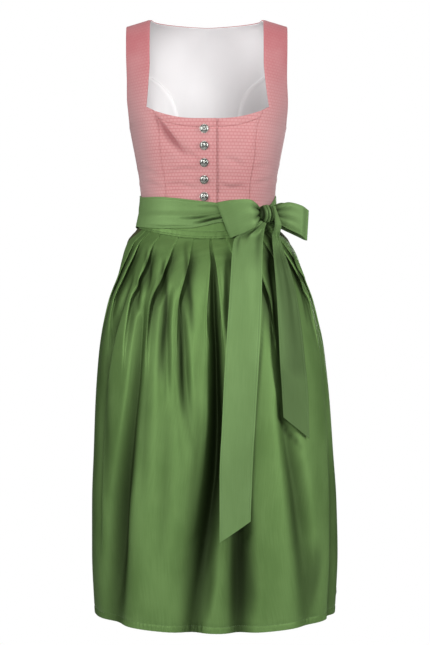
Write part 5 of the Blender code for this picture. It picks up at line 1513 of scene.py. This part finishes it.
def satin(name, base, deep, roughness, metallic, tint):
    """A satin weave: fine steep ribs, faint upright streaks of tone, a soft sheen and painted shade
    deep in its folds.
    """
    m = Nodes(name, roughness, metallic, Specular_IOR_Level=0.12, Specular_Tint=(*tint, 1.0))
    across, down = m.place()
    twill = ((across + down * 0.55) * (tau / TWILL_PITCH)).math("SINE")
    streak, cloud = m.noise(m.cut(520.0, 22.0), 3.0), m.noise(m.cut(16.0, 9.0), 3.0)
    slub = m.noise(m.cut(240.0, 900.0), 2.0)
    lit = m.mix((streak * 0.3 + cloud * 0.7).smooth(0.36, 0.64), deep, base)
    rough = cloud.smooth(0.3, 0.7, roughness - 0.02, roughness + 0.04)
    # painted shade: the satin turns a dark green deep in folds and creases
    return m.finish(m.mix(m.painted_shading(), lit, PAINTED_SHADE_GREEN), twill * 0.3 + streak * 0.22 + slub * 0.48,
                    0.00014, 0.45, Roughness=rough)


def plain_weave(name, colour, second, roughness, pitch, strength, low=NOWHERE, aside_shade=NOWHERE):
    """A plain weave of two close colours, with painted shade that greys it down the cloth and away
    from the back's middle.

    low and aside give where the painted grey starts, where it is full, and the share of the colour
    left.
    """
    m = Nodes(name, roughness, Specular_IOR_Level=0.08)
    warp, weft = m.place(tau / pitch, tau / pitch)
    weave = warp.math("SINE") * weft.math("SINE")
    cloud = m.noise(m.cut(26.0, 18.0), 3.0)
    lit = m.mix((weave.smooth(-1.0, 1.0) * 0.5 + cloud * 0.5).smooth(0.25, 0.75), second, colour)
    across, down = m.place()
    away = (across - LINING_MIDDLE).math("ABSOLUTE")
    # painted shade: greyer down the cloth and away from the back's middle
    for distance, (start, end, grey) in ((down, low), (away, aside_shade)):
        lit = m.mix(distance.smooth(start, end), lit, tuple(grey * c for c in colour))
    relief = weave * 0.5 + m.noise(m.cut(700.0, 500.0), 2.0)
    # painted light: the cloth takes its lighter colour, without the painted grey, on the lining's
    # seams and the skirt's crests
    return m.finish(m.mix(m.painted_shading(), lit, colour), relief, 0.00022, strength)


def old_silver():
    """Antique silver: bright on the high places, dark in the hollows."""
    m = Nodes("button_metal_silver", 0.3, 0.92)
    point = m.add("ShaderNodeNewGeometry", output="Pointiness")
    stain = m.noise(m.on_object(), 3.0, 420.0)
    bright = point.smooth(0.46, 0.53) * stain.smooth(0.3, 0.62, 0.9, 1.0)
    return m.finish(m.mix(bright, SILVER_DARK, SILVER_BRIGHT), stain, 0.0001, 0.08,
                    Roughness=stain.smooth(0.3, 0.7, 0.22, 0.3))


def clouded(m, colour, darker, scale, detail):
    """A colour that varies a little over the object, and the noise it follows."""
    cloud = m.noise(m.on_object(), detail, scale)
    return m.mix(cloud.smooth(0.3, 0.7), tuple(darker * c for c in colour), colour), cloud


def thread_material(name, colour):
    """Twisted sewing thread, a little darker in places."""
    m = Nodes(name, 0.55, Sheen_Weight=0.3)
    colour, twist = clouded(m, colour, 0.72, 2600.0, 1.0)
    return m.finish(colour, twist, 0.0001, 0.4)


# ---------------------------------------------------------------- camera, light and floor
FLOOR_Z = -1.46
FLOOR_RADIUS, FLOOR_CORNERS = 1.6, 96
SENSOR = 36.0
WORLD_LIGHT = 0.1
#  name, place, what it points at, width and height, power
LIGHTS = (
    ("key", (-1.95, -1.55, 0.3), (0.0, -0.05, -0.42), (0.7, 2.0), 50.0),
    ("fill", (2.34, -1.02, 0.22), (0.0, 0.0, -0.42), (0.6, 2.0), 54.0),
    ("front", (0.1, -3.3, 0.2), (0.0, 0.0, -0.34), (0.9, 1.3), 44.0),
    ("top", (0.05, -0.9, 1.75), (0.0, 0.0, -0.4), (1.7, 1.3), 7.0),
    ("back", (0.3, 3.0, 0.3), (0.0, 0.0, -0.5), (2.0, 2.0), 62.0),
)


def stage():
    """A round of pale paper under the dress, small enough to stay out of the main view."""
    turn = np.arange(FLOOR_CORNERS) * tau / FLOOR_CORNERS
    ring = FLOOR_RADIUS * np.stack((np.cos(turn), np.sin(turn), 0.0 * turn), axis=-1) + FLOOR_Z * UP
    floor = smooth_object("floor", ring, [tuple(range(FLOOR_CORNERS))])
    paper = Nodes("floor_paper", 0.9)
    grey, _ = clouded(paper, (0.86, 0.86, 0.86), 0.985, 1.2, 2.0)
    floor.data.materials.append(paper.finish(grey))


def lights():
    """Soft boxes, and a world that is white to the camera but lights the dress only a little."""
    for name, place, target, (width, height), power in LIGHTS:
        light = bpy.data.lights.new(name, "AREA")
        light.shape = "RECTANGLE"
        light.size, light.size_y, light.energy = width, height, power
        lamp = link(name, light)
        lamp.location = place
        lamp.rotation_euler = (Vector(target) - Vector(place)).to_track_quat("-Z", "Y").to_euler()
    world = bpy.data.worlds.new("studio")
    world.use_nodes = True
    tree = world.node_tree
    tree.nodes.clear()
    lighting, seen, path, mix, output = (tree.nodes.new(f"ShaderNode{kind}") for kind in (
        "Background", "Background", "LightPath", "MixShader", "OutputWorld"))
    for node, colour, strength in ((lighting, (0.96, 0.98, 1.0, 1.0), WORLD_LIGHT),
                                   (seen, (1.0, 1.0, 1.0, 1.0), 1.0)):
        node.inputs["Color"].default_value = colour
        node.inputs["Strength"].default_value = strength
    tree.links.new(path.outputs["Is Camera Ray"], mix.inputs[0])
    tree.links.new(lighting.outputs[0], mix.inputs[1])
    tree.links.new(seen.outputs[0], mix.inputs[2])
    tree.links.new(mix.outputs[0], output.inputs[0])
    bpy.context.scene.world = world
    bpy.context.scene.view_settings.view_transform = "Standard"


def camera():
    """The eye stands level with the middle row, in front of the dress."""
    lens = bpy.data.cameras.new("camera")
    lens.sensor_width = lens.sensor_height = SENSOR
    lens.sensor_fit = "AUTO"
    lens.lens = SENSOR * CAMERA_DISTANCE / (FRAME_HEIGHT * METRES_PER_COLUMN)
    lens.clip_end = 60.0
    eye = link("camera", lens)
    eye.location = (CENTRE_X, -CAMERA_DISTANCE, EYE_LEVEL)
    eye.rotation_euler = (radians(90.0), 0.0, 0.0)
    bpy.context.scene.camera = eye


# ---------------------------------------------------------------- the dress
def main():
    """Build the studio, the materials and then every piece from the bodice to the bow."""
    camera()
    lights()
    stage()
    pink, silver = jacquard(), old_silver()
    # painted shade on the lining: greyer down the cloth and away from the back's middle
    white = plain_weave("lining_cotton_cloth", (0.94, 0.935, 0.94), (0.9, 0.895, 0.905), 0.85,
                        0.0011, 0.25, low=(0.02, 0.185, 0.61), aside_shade=(0.062, 0.12, 0.79))
    olive = plain_weave("skirt_cloth_weave", (0.056, 0.061, 0.028), (0.02, 0.023, 0.01), 0.92,
                        0.0024, 0.5)
    apron_green = satin("apron_satin_cloth", (0.124, 0.216, 0.069), (0.1, 0.18, 0.054), 0.5, 0.42,
                        (0.85, 1.0, 0.75))
    ribbon_green = satin("ribbon_satin_cloth", (0.15, 0.252, 0.092), (0.132, 0.226, 0.079),
                         0.55, 0.3, (0.9, 1.0, 0.8))
    pink_thread = thread_material("pink_thread", (0.4, 0.125, 0.13))
    green_thread = thread_material("green_thread", (0.06, 0.115, 0.03))

    for hand, side in (("left", 1), ("right", -1)):
        front_middle(f"front_middle_{hand}", side, pink, pink_thread)
    for hand, side in (("right", -1), ("left", 1)):
        front_side(f"front_side_{hand}", side, pink, pink_thread)
    back_middle("back_middle", pink, pink_thread)
    for hand, side in (("right", -1), ("left", 1)):
        back_side(f"back_side_{hand}", side, pink)
    lining(white)
    for k in range(BUTTON_COUNT):
        button(f"button_{k + 1}", BUTTON_TOP_Z - k * BUTTON_PITCH, silver)
    skirt_front("skirt_front", olive)
    skirt_back("skirt_back", olive)
    apron_panel("apron_panel", apron_green, green_thread)
    apron_band("apron_band", apron_green, green_thread)
    waist_ribbon("waist_ribbon_front", -RIBBON_PARTING, RIBBON_PARTING, 241, ribbon_green)
    waist_ribbon("waist_ribbon_back", RIBBON_PARTING, 360.0 - RIBBON_PARTING, 181, ribbon_green)
    bow_knot("bow_knot", ribbon_green)
    for name, sizes in LOOPS.items():
        bow_loop(name, ribbon_green, **sizes)
    for name, table in (("tail_long", TAIL_LONG), ("tail_short", TAIL_SHORT)):
        tail(name, table, ribbon_green, green_thread)


main()
